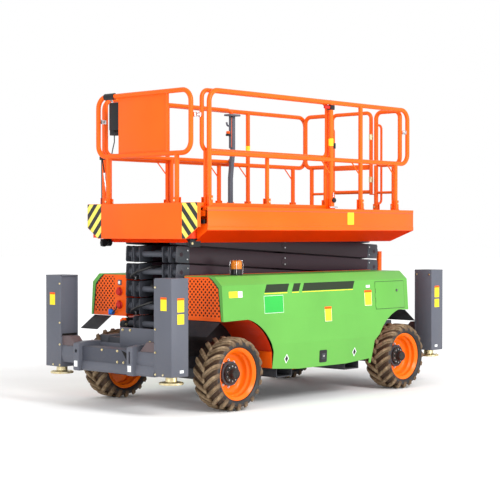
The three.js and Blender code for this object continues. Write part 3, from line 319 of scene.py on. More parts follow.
def block(low, high, edge=0.002):
    low, high = Vector(low), Vector(high)
    part = bmesh.new()
    bmesh.ops.create_cube(part, size=1)
    bmesh.ops.scale(part, vec=high - low, verts=part.verts)
    bmesh.ops.translate(part, vec=(low + high) / 2, verts=part.verts)
    return rounded(part, edge)


def rod(start, end, radius, sides=24, edge=0.0, tip=None):
    start, end = Vector(start), Vector(end)
    part = bmesh.new()
    bmesh.ops.create_cone(part, cap_ends=True, segments=sides, radius1=radius,
                          radius2=radius if tip is None else tip, depth=(end - start).length)
    turn = Vector((0, 0, 1)).rotation_difference(end - start).to_matrix()
    bmesh.ops.rotate(part, cent=(0, 0, 0), matrix=turn, verts=part.verts)
    bmesh.ops.translate(part, vec=(start + end) / 2, verts=part.verts)
    return rounded(part, edge, 1)


def plate(outline, across, start, end, edge=0.002):
    """An outline of two coordinates, extruded along the axis named across, from start to end."""
    order = {"x": lambda u, v: (start, u, v), "y": lambda u, v: (u, start, v),
             "z": lambda u, v: (u, v, start)}
    part = bmesh.new()
    face = part.faces.new([part.verts.new(order[across](u, v)) for u, v in outline])
    grown = bmesh.ops.extrude_face_region(part, geom=[face])["geom"]
    step = Vector([end - start if across == a else 0 for a in "xyz"])
    bmesh.ops.translate(part, vec=step, verts=[v for v in grown if isinstance(v, bmesh.types.BMVert)])
    bmesh.ops.recalc_face_normals(part, faces=part.faces)
    return rounded(part, edge)


def arc(u, v, radius, start, end, steps=8):
    """Points on an arc, with its angles in degrees, for an outline's round stretches."""
    angles = [math.radians(start + (end - start) * k / steps) for k in range(steps + 1)]
    return [(u + radius * math.cos(a), v + radius * math.sin(a)) for a in angles]


def turned(profile, centre, axis=(0, 1, 0), steps=48):
    """A profile of (radius, distance along the axis) pairs, spun round the axis through centre."""
    axis, centre = Vector(axis), Vector(centre)
    out = axis.orthogonal().normalized()
    part = bmesh.new()
    verts = [part.verts.new(centre + out * r + axis * along) for r, along in profile]
    edges = [part.edges.new(pair) for pair in zip(verts, verts[1:])]
    bmesh.ops.spin(part, geom=verts + edges, cent=centre, axis=axis, angle=2 * math.pi, steps=steps,
                   use_merge=True)
    bmesh.ops.remove_doubles(part, verts=part.verts, dist=1e-5)
    bmesh.ops.recalc_face_normals(part, faces=part.faces)
    return part


print("blocks, rods and plates ready")

# %% [markdown]
# ## Bent tubes
#
# The guard rails are steel tube, bent on a former. The mesh is made the same way: a circle is
# pushed straight ahead with an extrude, then swept round each bend with a spin, so every bend
# has a true radius. A curve object with a bevel would be quicker, but its corners need
# handles placed by hand.
# %% Tube bender
def only(geometry, kind):
    return [g for g in geometry if isinstance(g, kind)]


def tube(corners, radius, bend=0.09, sides=16, steps=7, closed=False):
    corners = [Vector(c) for c in corners]
    if closed:
        middle = (corners[0] + corners[1]) / 2
        corners = [middle, *corners[1:], corners[0], middle]
    heading = (corners[1] - corners[0]).normalized()
    turn = Vector((0, 0, 1)).rotation_difference(heading).to_matrix().to_4x4()
    part = bmesh.new()
    verts = bmesh.ops.create_circle(part, segments=sides, radius=radius,
                                    matrix=Matrix.Translation(corners[0]) @ turn)["verts"]
    edges, at = list(part.edges), corners[0]
    for corner, after in zip(corners[1:], [*corners[2:], None]):
        ahead = (after - corner).normalized() if after else heading
        angle = heading.angle(ahead)
        reach = corner - heading * (bend * math.tan(angle / 2) if after else 0)
        grown = bmesh.ops.extrude_edge_only(part, edges=edges)["geom"]
        verts = only(grown, bmesh.types.BMVert)
        edges = [e for e in only(grown, bmesh.types.BMEdge) if all(v in verts for v in e.verts)]
        bmesh.ops.translate(part, vec=reach - at, verts=verts)
        at = reach
        if after and angle > 0.01:
            axis = heading.cross(ahead).normalized()
            centre = reach + axis.cross(heading) * bend
            last = bmesh.ops.spin(part, geom=verts + edges, cent=centre, axis=axis, angle=angle,
                                  steps=steps)["geom_last"]
            verts, edges = only(last, bmesh.types.BMVert), only(last, bmesh.types.BMEdge)
            at = centre + Matrix.Rotation(angle, 3, axis) @ (reach - centre)
            heading = ahead
    bmesh.ops.remove_doubles(part, verts=part.verts, dist=1e-5)
    bmesh.ops.holes_fill(part, edges=[e for e in part.edges if e.is_boundary], sides=0)
    bmesh.ops.recalc_face_normals(part, faces=part.faces)
    return part


print("tube bender ready")

# %% [markdown]
# ## Cutting one shape with another
#
# Slots, arches and lightening holes are cut with a Boolean. The modifier needs two objects,
# so a helper makes them, reads the result back and throws the objects away. Cutting suits the
# few openings with awkward outlines; regular holes are cheaper to build in.
# %% Boolean cut
def as_object(part, name):
    mesh = bpy.data.meshes.new(name)
    part.to_mesh(mesh)
    part.free()
    made = bpy.data.objects.new(name, mesh)
    scene.collection.objects.link(made)
    return made


def carved(part, *cutters):
    body = as_object(part, "carving")
    tools = [as_object(cutter, "cutter") for cutter in cutters]
    for tool in tools:
        body.modifiers.new("cut", "BOOLEAN").object = tool
    state = bpy.context.evaluated_depsgraph_get()
    result = bmesh.new()
    result.from_mesh(bpy.data.meshes.new_from_object(body.evaluated_get(state)))
    for spent in [body, *tools]:
        bpy.data.objects.remove(spent)
    return result


print("boolean cut ready")

# %% [markdown]
# ## Pieces
#
# A piece collects parts, each with its paint, into one mesh. When it is finished its edges are marked sharp
# by angle, it takes its body, and it stands for the CAD nodes that it replaces. Mirrored copies keep their
# normals right by reversing the faces.
# %% Piece maker
MIRROR_Y = Matrix.Scale(-1, 4, (0, 1, 0))
BOTH_SIDES = (Matrix(), MIRROR_Y)
HALF_TURN = Matrix.Rotation(math.pi, 4, "Z")


class Piece:
    def __init__(self, name):
        self.name = name
        self.bm = bmesh.new()
        self.paints = []

    def add(self, part, paint, where=None):
        if paint not in self.paints:
            self.paints.append(paint)
        for face in part.faces:
            face.material_index = self.paints.index(paint)
        if where is not None:
            part.transform(where)
            if where.determinant() < 0:
                bmesh.ops.reverse_faces(part, faces=part.faces)
        mesh = bpy.data.meshes.new("part")
        part.to_mesh(mesh)
        part.free()
        self.bm.from_mesh(mesh)
        bpy.data.meshes.remove(mesh)

    def add_each(self, parts, paint, where=None):
        for part in parts:
            self.add(part, paint, where)

    def finish(self, body, slot, *replaced):
        for face in self.bm.faces:
            face.smooth = True
        for edge in self.bm.edges:
            edge.smooth = not (edge.is_manifold and edge.calc_face_angle(0) > SHARP)
        made = as_object(self.bm, self.name)
        for paint in self.paints:
            made.data.materials.append(paint)
        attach(made, body)
        if replaced:
            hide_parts(*replaced)
        triangles = sum(len(p.vertices) - 2 for p in made.data.polygons)
        print(f"{self.name}: {triangles} triangles on {body}")
        return made


# %% [markdown]
# ## Small fittings
#
# The same bolts and labels appear all over the machine. A hexagon head on a washer is enough
# at this size; threads would never be seen. Labels stay blank: a coloured sheet, on some with
# a header strip or a rim, as thick as a sticker.
# %% Bolts and labels
def bolt(at, normal, size=0.010):
    at, normal = Vector(at), Vector(normal).normalized()
    washer = rod(at - normal * 0.001, at + normal * size * 0.2, size * 1.15, 14)
    head = rod(at + normal * size * 0.2, at + normal * size * 0.85, size * 0.9, 6, size * 0.12)
    return [washer, head]


def label(piece, at, normal, across, width, height, ground=None, header=None, rim=None, where=Matrix()):
    """A blank sticker centred on a point of a flat surface."""
    at, normal, across = Vector(at), Vector(normal).normalized(), Vector(across).normalized()
    up = normal.cross(across)
    turn = Matrix((across, up, normal)).transposed().to_4x4()
    seat = where @ Matrix.Translation(at) @ turn
    layers = [(width, height, 0.0, 0.0006, rim)] if rim else []
    inset = 0.006 if rim else 0.0
    layers.append((width - inset, height - inset, 0.0, 0.0010, ground or YELLOW))
    if header:
        layers.append((width, height * 0.16, height * 0.42, 0.0014, header))
    for w, h, rise, thick, paint in layers:
        piece.add(block((-w / 2, rise - h / 2, -0.0005), (w / 2, rise + h / 2, thick), 0), paint, seat)


def spread(start, end, count):
    return [start + (end - start) * k / (count - 1) for k in range(count)]


print("fittings ready")

# %% [markdown]
# ## Stage and light
#
# The machine stands on a pale, matt floor that glows a little more with distance, so that it
# fades into the pale surroundings. A large soft key lights the side from above, one weaker
# lamp fills the front end and another the side from low down, and the surroundings supply the
# rest, as in a studio with white walls.
# %% Stage and light
def floor_material():
    material, tree, shader, position = bare_material("pale_floor")
    cloud = place(tree, CLOUD, Position=position, Scale=0.7)["Mask"]
    tree.links.new(mixed(tree, cloud, (0.86, 0.86, 0.86, 1), (0.90, 0.90, 0.90, 1)),
                   shader.inputs["Base Color"])
    tree.links.new(mixed(tree, cloud, (0.98, 0.98, 0.98, 1), (1, 1, 1, 1)), shader.inputs["Emission Color"])
    distance = add(tree, "VectorMath", {"operation": "LENGTH"}, _0=position).outputs["Value"]
    tree.links.new(between(tree, distance, 2.4, 6.0, 0.02, 0.24), shader.inputs["Emission Strength"])
    shader.inputs["Roughness"].default_value = 0.95
    shader.inputs["Specular IOR Level"].default_value = 0.1
    return material


floor_part = bmesh.new()
bmesh.ops.create_grid(floor_part, x_segments=8, y_segments=8, size=60)
floor = as_object(floor_part, "floor")
floor.data.materials.append(floor_material())

world = bpy.data.worlds.new("studio")
scene.world = world
world.use_nodes = True
world.node_tree.nodes["Background"].inputs[0].default_value = (1, 1, 1, 1)
world.node_tree.nodes["Background"].inputs[1].default_value = 1.0


def softbox(name, location, target, size, power):
    data = bpy.data.lights.new(name, "AREA")
    data.shape = "DISK"
    data.size = size
    data.energy = power
    lamp = bpy.data.objects.new(name, data)
    scene.collection.objects.link(lamp)
    lamp.location = location
    lamp.rotation_euler = (Vector(target) - Vector(location)).to_track_quat("-Z", "Y").to_euler()


softbox("key", (1.8, 8.6, 6.4), (0, 0, 1.2), 4.0, 620)
softbox("front fill", (9.5, 1.0, 3.2), (0.8, 0, 0.9), 3.5, 190)
softbox("side fill", (-1.5, 9.5, 0.9), (-0.3, 0, 1.4), 3.0, 230)
scene.view_settings.view_transform = "Standard"

# %% [markdown]
# ## Tyres
#
# Rough-ground tyres carry bars in a chevron that dig in and throw the soil off. The casing is
# a profile spun round the axle. One bar starts as a rectangle on the middle of the tread and
# is extruded outwards in steps, each turned a little further round the axle, until it wraps
# over the shoulder. A spin that duplicates sets twenty of them round the tyre, and the other
# side is the mirror image, half a pitch on. The dirt attribute grows from the sidewall
# outwards, so the mud colour stays on the bars.
# %% Tyres
AXLE_X = {"front": 1.192, "rear": -1.272}
SIDES = {"left": 1, "right": -1}
WHEEL_Y, WHEEL_Z = 0.7425, 0.330
ROUND_AXLE = (0, 1, 0)
BARS = 20


def wheel_place(end, side):
    return Matrix.Translation((AXLE_X[end], SIDES[side] * WHEEL_Y, WHEEL_Z))


def tread_bar():
    """One bar, in the wheel's own frame: y outwards from the middle, starting along +X."""
    outline = [(-0.029, 0.296), (0.029, 0.296), (0.020, 0.3295), (-0.020, 0.3295)]
    path = [(0.036, 5.0, 1.0), (0.076, 10.5, 1.0), (0.112, 15.0, 0.985), (0.140, 18.5, 0.935),
            (0.1500, 20.0, 0.865)]
    part = bmesh.new()
    last = part.faces.new([part.verts.new((r, -0.004, across)) for across, r in outline])
    at_y, at_turn, at_size = -0.004, 0.0, 1.0
    for y, turn, size in path:
        grown = bmesh.ops.extrude_face_region(part, geom=[last])["geom"]
        verts, last = only(grown, bmesh.types.BMVert), only(grown, bmesh.types.BMFace)[0]
        bmesh.ops.rotate(part, cent=(0, 0, 0), matrix=Matrix.Rotation(math.radians(at_turn - turn), 3, "Y"),
                         verts=verts)
        bmesh.ops.scale(part, vec=(size / at_size, 1, size / at_size), verts=verts)
        bmesh.ops.translate(part, vec=(0, y - at_y, 0), verts=verts)
        at_y, at_turn, at_size = y, turn, size
    bmesh.ops.recalc_face_normals(part, faces=part.faces)
    return rounded(part, 0.005, 2)


def one_side_of_bars(half_pitch=0.0):
    part = tread_bar()
    pitch = 2 * math.pi / BARS
    shift = Matrix.Rotation(half_pitch * pitch, 3, "Y")
    bmesh.ops.rotate(part, cent=(0, 0, 0), matrix=shift, verts=part.verts)
    bmesh.ops.spin(part, geom=part.verts[:] + part.edges[:] + part.faces[:], cent=(0, 0, 0), axis=ROUND_AXLE,
                   angle=pitch * (BARS - 1), steps=BARS - 1, use_duplicate=True)
    return part


print("tyres ready")

# %% [markdown]
# ## Tyre casings
#
# The casing is the smooth body under the bars: beads that grip the rim, flanks and a nearly
# flat tread. A scaled torus would be quicker, but a spun profile keeps the true section. The
# attribute named dirt is written vertex by vertex afterwards, so that the soil grows towards
# the bars' tops.
# %% Tyre casings
CASING = [(0.2120, -0.1040), (0.2290, -0.1110), (0.2380, -0.1150), (0.2390, -0.1290), (0.2520, -0.1430),
          (0.274, -0.1480), (0.290, -0.138),
          (0.298, -0.118), (0.301, -0.06), (0.302, 0.0)]
for end in AXLE_X:
    for side in SIDES:
        tyre = Piece(f"{end}_{side}_lugged_tyre")
        closed = CASING + [(r, -y) for r, y in reversed(CASING[:-1])] + [(0.2155, 0.0), CASING[0]]
        tyre.add(turned(closed, (0, 0, 0), steps=80), RUBBER)
        casing = len(tyre.bm.verts)
        tyre.add(one_side_of_bars(), RUBBER)
        tyre.add(one_side_of_bars(0.5), RUBBER, MIRROR_Y)
        dirt = tyre.bm.verts.layers.float.new("dirt")
        for count, vert in enumerate(tyre.bm.verts):
            out, flank = math.hypot(vert.co.x, vert.co.z), abs(vert.co.y)
            if count < casing:
                vert[dirt] = 0.40 * min(1.0, max(0.0, (out - 0.276) / 0.015))
            else:
                crown = 0.3295 - 0.050 * max(0.0, (flank - 0.105) / 0.045) ** 1.5
                rise = min(1.0, max(0.0, (out - crown + 0.030) / 0.028))
                vert[dirt] = 0.45 + 0.55 * rise * min(1.0, max(0.35, (0.156 - flank) / 0.030))
        tyre.bm.transform(wheel_place(end, side))
        tyre.finish(f"{end}_{side}_wheel", "tyre", f"{end}_{side}_tyre")

# %% [markdown]
# ## Wheels
#
# The rim is a deep dish: the flange, the stepped well for the tyre's beads, and a pressed disc
# near the wheel's middle plane, where ten nuts hold it to the hub drive. All of it is turned
# from one profile, and the drive's black drum with its cap from a second. The dish shades from
# orange to red inside, because its walls light one another.
# %% Wheels
WHEEL_PAINT = painted("wheel_orange_paint", (0.95, 0.165, 0.003), rough=0.32, dust=0.15, coat=0.1)
RIM = [(0.2300, 0.1250), (0.2355, 0.1235), (0.2365, 0.1165), (0.2280, 0.1130), (0.2115, 0.1060),
       (0.2100, 0.0600), (0.1930, 0.0450), (0.1930, -0.0500), (0.2100, -0.0700), (0.2115, -0.1060),
       (0.2280, -0.1130), (0.2365, -0.1165), (0.2355, -0.1235), (0.2300, -0.1250), (0.2210, -0.1180),
       (0.2045, -0.1100), (0.2030, -0.0720), (0.1860, -0.0520), (0.1860, -0.0150), (0.1600, -0.0150),
       (0.1300, -0.0120), (0.1050, -0.0120), (0.1050, 0.0000), (0.1310, 0.0000), (0.1480, -0.0050),
       (0.1620, -0.0050), (0.1780, 0.0060), (0.1860, 0.0250), (0.1880, 0.0520), (0.2030, 0.0700),
       (0.2045, 0.1020), (0.2210, 0.1180), (0.2300, 0.1250)]
DRUM = [(0.0, -0.110), (0.094, -0.110), (0.098, -0.106), (0.098, -0.0005), (0.1040, -0.0005),
        (0.1060, 0.0030), (0.1060, 0.0120), (0.1000, 0.0150), (0.0900, 0.0150), (0.0880, 0.0190),
        (0.0880, 0.0480),
        (0.0840, 0.0520), (0.0500, 0.0520), (0.0480, 0.0560), (0.0480, 0.1000), (0.0430, 0.1060),
        (0.0, 0.1110)]
for end in AXLE_X:
    for side, sign in SIDES.items():
        wheel = Piece(f"{end}_{side}_wheel_and_hub")
        wheel.add(turned(RIM, (0, 0, 0), steps=72), WHEEL_PAINT)
        wheel.add(turned(DRUM, (0, 0, 0), steps=48), BLACK)
        for k in range(10):
            angle = 2 * math.pi * (k + 0.5) / 10
            reach = Vector((math.cos(angle), 0, math.sin(angle)))
            nut = reach * 0.119
            wheel.add_each(bolt(nut, (0, 1, 0), 0.0120), STEEL)
            wheel.add(rod(nut, nut + Vector((0, 0.0125, 0)), 0.0052, 12, 0.001), STEEL)
            screw = reach * 0.067 + Vector((0, 0.052, 0))
            wheel.add_each(bolt(screw, (0, 1, 0), 0.006), STEEL)
        stem = Vector((0.110, 0.0, -0.125)).normalized() * 0.166
        wheel.add(rod(stem - Vector((0, 0.008, 0)), stem + Vector((0, 0.028, 0)), 0.0050, 10, 0.001), STEEL)
        wheel.bm.transform(wheel_place(end, side) @ (MIRROR_Y if sign < 0 else Matrix()))
        if sign < 0:
            bmesh.ops.reverse_faces(wheel.bm, faces=wheel.bm.faces)
        wheel.finish(f"{end}_{side}_wheel", "orange", f"{end}_{side}_wheel")

# %% [markdown]
# ## Sheet outlines
#
# Folded sheet has a small radius at every bend. An outline drawn with sharp corners gets that
# radius from one helper, and a second one gives the sheet its thickness by stepping the same
# line inwards.
# %% Outline helpers
def filleted(points, radius, steps=4, closed=False):
    points = [Vector(p) for p in points]
    last, out = len(points) - 1, []
    for k, corner in enumerate(points):
        if not closed and k in (0, last):
            out.append(tuple(corner))
            continue
        before, after = points[k - 1] - corner, points[(k + 1) % len(points)] - corner
        half = before.angle(after) / 2
        if math.pi / 2 - half < 0.02:
            out.append(tuple(corner))
            continue
        reach = min(radius / math.tan(half), before.length * 0.45, after.length * 0.45)
        centre = corner + (before.normalized() + after.normalized()).normalized() * (reach / math.cos(half))
        first = corner + before.normalized() * reach - centre
        final = corner + after.normalized() * reach - centre
        for step in range(steps + 1):
            out.append(tuple(centre + first.lerp(final, step / steps).normalized() * first.length))
    return out


def stepped_in(points, thickness):
    """The same open line moved to its left by a sheet's thickness."""
    points = [Vector(p) for p in points]
    normals = []
    for a, b in zip(points, points[1:]):
        along = (b - a).normalized()
        normals.append(Vector((-along.y, along.x)))
    out = []
    for k, point in enumerate(points):
        sides = normals[max(0, k - 1):k + 1]
        middle = sum(sides, Vector((0, 0))).normalized()
        out.append(tuple(point + middle * thickness / middle.dot(sides[0])))
    return out


def panel(corners, thickness=0.004):
    part = bmesh.new()
    face = part.faces.new([part.verts.new(c) for c in corners])
    bmesh.ops.solidify(part, geom=[face], thickness=thickness)
    bmesh.ops.recalc_face_normals(part, faces=part.faces)
    return part


def folded_sheet(line, across, start, end, thickness=0.003, radius=0.008, steps=4):
    soft = filleted(line, radius, steps)
    return plate(soft + stepped_in(soft, thickness)[::-1], across, start, end, 0)


print("outline helpers ready")

# %% [markdown]
# ## Side covers
#
# Each long side is one green sheet, folded over the top and hinged along its inner edge, with
# the wheels' arches cut out of it. The fold lines are what catches the light, so the section
# has real bend radii. The stickers and the dark name strips are blank, and the small door is
# a second, thin panel with a dark gap round it.
# %% Cover outline and labels
COVER_LINE = [(0.392, 1.200), (0.770, 1.200), (0.862, 1.120), (0.884, 0.800), (0.884, 0.565), (0.850, 0.300)]
FRONT_ARCH = [(1.392, 0.805), *arc(1.192, 0.330, 0.495, 103, 151, 12), (0.727, 0.500), (0.727, 0.346)]
REAR_ARCH = [(-1.316, 0.805), *[(-0.080 - x, z) for x, z in arc(1.192, 0.330, 0.495, 103, 149, 12)],
             (-0.770, 0.520), (-0.700, 0.346)]


def on_cover(x, z):
    """The point of the cover's outside at a station and height, and its normal."""
    for (y0, z0), (y1, z1) in zip(COVER_LINE, COVER_LINE[1:]):
        if min(z0, z1) <= z <= max(z0, z1) and z0 != z1:
            y = y0 + (y1 - y0) * (z - z0) / (z1 - z0)
            return (x, y, z), Vector((0, z0 - z1, y1 - y0))
    return (x, COVER_LINE[-1][0], z), Vector((0, 1, 0))


def cover_label(piece, x, z, width, height, where, **looks):
    spot, normal = on_cover(x, z)
    label(piece, spot, normal, (-1, 0, 0), width, height, where=where, **looks)


def slanted_plate(piece, x, z, width, height, where):
    """A dark, blank name strip with leaning ends, a yellow line under it."""
    spot, normal = on_cover(x, z)
    lean = height * 0.45
    turn = Matrix((Vector((-1, 0, 0)), normal.normalized().cross(Vector((-1, 0, 0))), normal.normalized()))
    seat = Matrix.Translation(spot) @ turn.transposed().to_4x4()
    w, h = width / 2, height / 2
    strip = [(-w, -h), (w - lean, -h), (w, h), (-w + lean, h)]
    rule = [(-w, -h - 0.012), (w - lean, -h - 0.012), (w - lean + 0.003, -h - 0.006), (-w, -h - 0.006)]
    piece.add(plate(strip, "z", -0.0005, 0.0012, 0), SIGN_BLACK, where @ seat)
    piece.add(plate(rule, "z", -0.0005, 0.0012, 0), YELLOW, where @ seat)


# A flat black for painted shade: behind the grilles, in the housings' openings, in the arms' open ends and on
# the outriggers' front plates.
SHADE_BLACK = painted("painted_shade_black", (0.006, 0.005, 0.005), rough=0.7, dust=0.0, wear=0.0, coat=0.0)
GUARD_GREY = painted("guard_grey", (0.045, 0.048, 0.058), rough=0.5, dust=0.3, wear=0.0)
SIGN_BLACK = painted("sign_black", (0.018, 0.030, 0.014), rough=0.45, dust=0.1, wear=0.0, coat=0.0)
LATCH_BLACK = painted("latch_plastic", (0.015, 0.015, 0.017), rough=0.35, dust=0.15, wear=0.0)
print("cover outline and labels ready")

# %% [markdown]
# ## Cover sheets
#
# The sheet is one folded section run the length of the cover, then cut by three solids whose
# outlines are the two wheel arches and the belly. A Boolean suits these few large openings.
# The end flanges, hinge barrels, small door, latch and blank labels are set on the sheet by
# their station and height.
# %% Green covers
for side, sign in SIDES.items():
    where = Matrix() if sign > 0 else MIRROR_Y
    cover = Piece(f"{side}_cover_sheet")
    sheet = folded_sheet(COVER_LINE[::-1], "x", -1.322, 1.398, 0.005, 0.014, 5)
    over_front = plate([(1.45, 0.0), (1.45, 0.805), *FRONT_ARCH[:-1], (0.727, 0.0)], "y", 0.30, 0.95, 0)
    over_rear = plate([(-1.40, 0.0), (-1.40, 0.805), *REAR_ARCH[:-1], (-0.700, 0.0)], "y", 0.30, 0.95, 0)
    belly = plate([(-0.71, 0.0), (0.74, 0.0), (0.74, 0.346), (0.36, 0.319), (-0.35, 0.319), (-0.71, 0.346)],
                  "y", 0.30, 0.95, 0)
    cover.add(carved(sheet, over_front, over_rear, belly), GREEN, where)
    flange = [(0.883, 0.806), (0.862, 1.119), (0.770, 1.198), (0.700, 1.198), (0.752, 1.168), (0.822, 1.100),
              (0.858, 0.806)]
    gap = [*flange[3:], (0.850, 0.806), (0.814, 1.094), (0.747, 1.160), (0.690, 1.198)]
    for x in (1.3935, -1.3225):
        cover.add(plate(flange, "x", x, x + 0.005, 0), GREEN, where)
        cover.add(plate(gap, "x", x + 0.001, x + 0.004, 0), BLACK, where)
    # A darker orange strip along the hinge edge: partly painted shade.
    cover.add(block((-1.316, 0.396, 1.2000), (1.392, 0.402, 1.2035), 0.001), SHADED_ORANGE, where)
    for x in (0.9, 0.0, -0.9):
        cover.add(rod((x - 0.05, 0.392, 1.201), (x + 0.05, 0.392, 1.201), 0.0065, 12, 0.001), BLACK, where)
    cover_label(cover, -1.022, 0.965, 0.472, 0.276, where, ground=LATCH_BLACK)
    spot, normal = on_cover(-1.022, 0.965)
    tilt = Matrix.Translation(spot) @ Matrix.Rotation(math.atan2(0.022, 0.320), 4, "X")
    cover.add(block((-0.232, -0.002, -0.134), (0.232, 0.0035, 0.134), 0.0015), GREEN, where @ tilt)
    cover.add(rod((-0.113, 0.003, 0.042), (-0.113, 0.008, 0.042), 0.014, 20, 0.001), LATCH_BLACK,
              where @ tilt)
    cover.add(block((-0.116, 0.0075, 0.034), (-0.110, 0.009, 0.050), 0), STEEL, where @ tilt)
    for z in (-0.090, 0.0, 0.090):
        cover.add(rod((0.238, 0.003, z - 0.02), (0.238, 0.003, z + 0.02), 0.005, 10, 0.001), GREEN,
                  where @ tilt)
    latch = [(-0.048, -0.060), (0.060, -0.060), (0.048, 0.060), (-0.060, 0.060)]
    spot, normal = on_cover(0.014, 0.415)
    lower = Matrix.Rotation(-math.pi / 2 - math.atan2(0.034, 0.265), 4, "X")
    seat = where @ Matrix.Translation(spot) @ lower
    cover.add(plate(filleted(latch, 0.012, 3, True), "z", -0.001, 0.004, 0.001), LATCH_BLACK, seat)
    cover.add(block((-0.028, -0.028, 0.003), (0.024, 0.030, 0.006), 0.002), GUARD_GREY, seat)
    cover.add(rod((0.0, -0.004, 0.005), (0.0, -0.004, 0.012), 0.010, 16, 0.001), STEEL, seat)
    for x in (0.542, -0.461):
        spot, normal = on_cover(x, 0.425)
        lozenge = [(-0.020, 0.0), (0.0, -0.030), (0.020, 0.0), (0.0, 0.030)]
        seat = where @ Matrix.Translation(spot) @ lower
        cover.add(plate([(u * 1.6, v * 1.5) for u, v in lozenge], "z", -0.001, 0.0008, 0), WHITE, seat)
        cover.add(plate([(u * 1.1, v * 1.1) for u, v in lozenge], "z", -0.001, 0.0013, 0), LATCH_BLACK, seat)
    for x, width in ((0.674, 0.345), (0.403, 0.130), (-0.071, 0.790)):
        slanted_plate(cover, x, 1.082, width, 0.074, where)
    cover_label(cover, 0.726, 0.936, 0.262, 0.160, where, ground=SIGN_GREEN, rim=WHITE)
    cover_label(cover, -0.042, 0.815, 0.100, 0.140, where, header=ORANGE, rim=WHITE)
    cover_label(cover, -0.672, 1.060, 0.060, 0.025, where, ground=WHITE)
    cover_label(cover, 1.258, 1.040, 0.112, 0.056, where, ground=YELLOW)
    cover_label(cover, 1.168, 1.040, 0.056, 0.056, where, ground=WHITE)
    cover_label(cover, -0.668, 0.947, 0.112, 0.152, where, header=ORANGE, rim=WHITE)
    cover.finish(f"{side}_cover", "green", f"{side}_cover")

# %% [markdown]
# ## Beacon
#
# An amber warning lamp stands on the left cover. Its black foot and its dome are each turned
# from half an outline, which needs far fewer points than a modelled surface, and four bent
# wires guard it. It rides on the cover, so it swings up with it.
# %% Beacon
beacon = Piece("beacon_lamp")
LAMP = (0.934, 0.600, 0.0)
foot = [(0.0, 1.2003), (0.060, 1.2003), (0.060, 1.206), (0.050, 1.212), (0.046, 1.258), (0.0, 1.258)]
beacon.add(turned(foot, LAMP, (0, 0, 1), 32), LATCH_BLACK)
dome = [(0.0, 1.257), (0.049, 1.257), (0.051, 1.266), (0.049, 1.318), *arc(0.031, 1.318, 0.018, 0, 90, 5),
        (0.0, 1.337)]
beacon.add(turned(dome, LAMP, (0, 0, 1), 40), AMBER)
for k in range(4):
    turn = Matrix.Translation(LAMP) @ Matrix.Rotation(math.radians(45 + 90 * k), 4, "Z")
    wire = [(0.056, 0, 1.206), (0.062, 0, 1.290), (0.052, 0, 1.336), (0.020, 0, 1.3385)]
    beacon.add(tube(wire, 0.0018, 0.010, 8, 3), STEEL, turn)
beacon.finish("left_cover", "amber", "beacon")

# %% [markdown]
# ## Trays behind the covers
#
# Behind each cover is a folded tray: the inner wall, the floor, the arch liners and a perforated panel at
# either end that lets the engine breathe. The liners and the inner wall are a darker orange, partly painted
# shade, and a plain orange sheet on the front liner's lower leg is painted light. The perforation is one
# cell, a ring of faces bridged between a small circle and a square, which is copied in staggered rows and
# trimmed to the panel. Copying cells keeps all the faces clean, where cutting hundreds of holes with Booleans
# would be slow and fragile.
# %% Perforated sheet
def perforated(width, height, pitch_u=0.048, pitch_v=0.0232, hole=0.0104):
    """A sheet with staggered holes, spanning 0..width and 0..height in its own plane z = 0."""
    part = bmesh.new()
    bmesh.ops.create_circle(part, segments=8, radius=hole)
    square = bmesh.ops.create_circle(part, segments=8, radius=1)["verts"]
    for vert in square:
        u, v = [0 if abs(c) < 0.3 else math.copysign(0.5, c) for c in vert.co.xy]
        vert.co = (u * pitch_u, v * pitch_v, 0)
    bmesh.ops.bridge_loops(part, edges=part.edges)
    cell = part.verts[:] + part.edges[:] + part.faces[:]
    for column in range(1, math.ceil(width / pitch_u) + 2):
        copy = bmesh.ops.duplicate(part, geom=cell)["geom"]
        bmesh.ops.translate(part, vec=(column * pitch_u, 0, 0), verts=only(copy, bmesh.types.BMVert))
    line = part.verts[:] + part.edges[:] + part.faces[:]
    for row in range(1, math.ceil(height / pitch_v) + 1):
        copy = bmesh.ops.duplicate(part, geom=line)["geom"]
        shift = (-0.5 * pitch_u if row % 2 else 0, row * pitch_v, 0)
        bmesh.ops.translate(part, vec=shift, verts=only(copy, bmesh.types.BMVert))
    bmesh.ops.remove_doubles(part, verts=part.verts, dist=1e-5)
    return part


def trimmed(part, *planes):
    for point, outwards in planes:
        geometry = part.verts[:] + part.edges[:] + part.faces[:]
        bmesh.ops.bisect_plane(part, geom=geometry, dist=1e-6, plane_co=point, plane_no=outwards,
                               clear_outer=True)
    return part


print("perforated sheet ready")

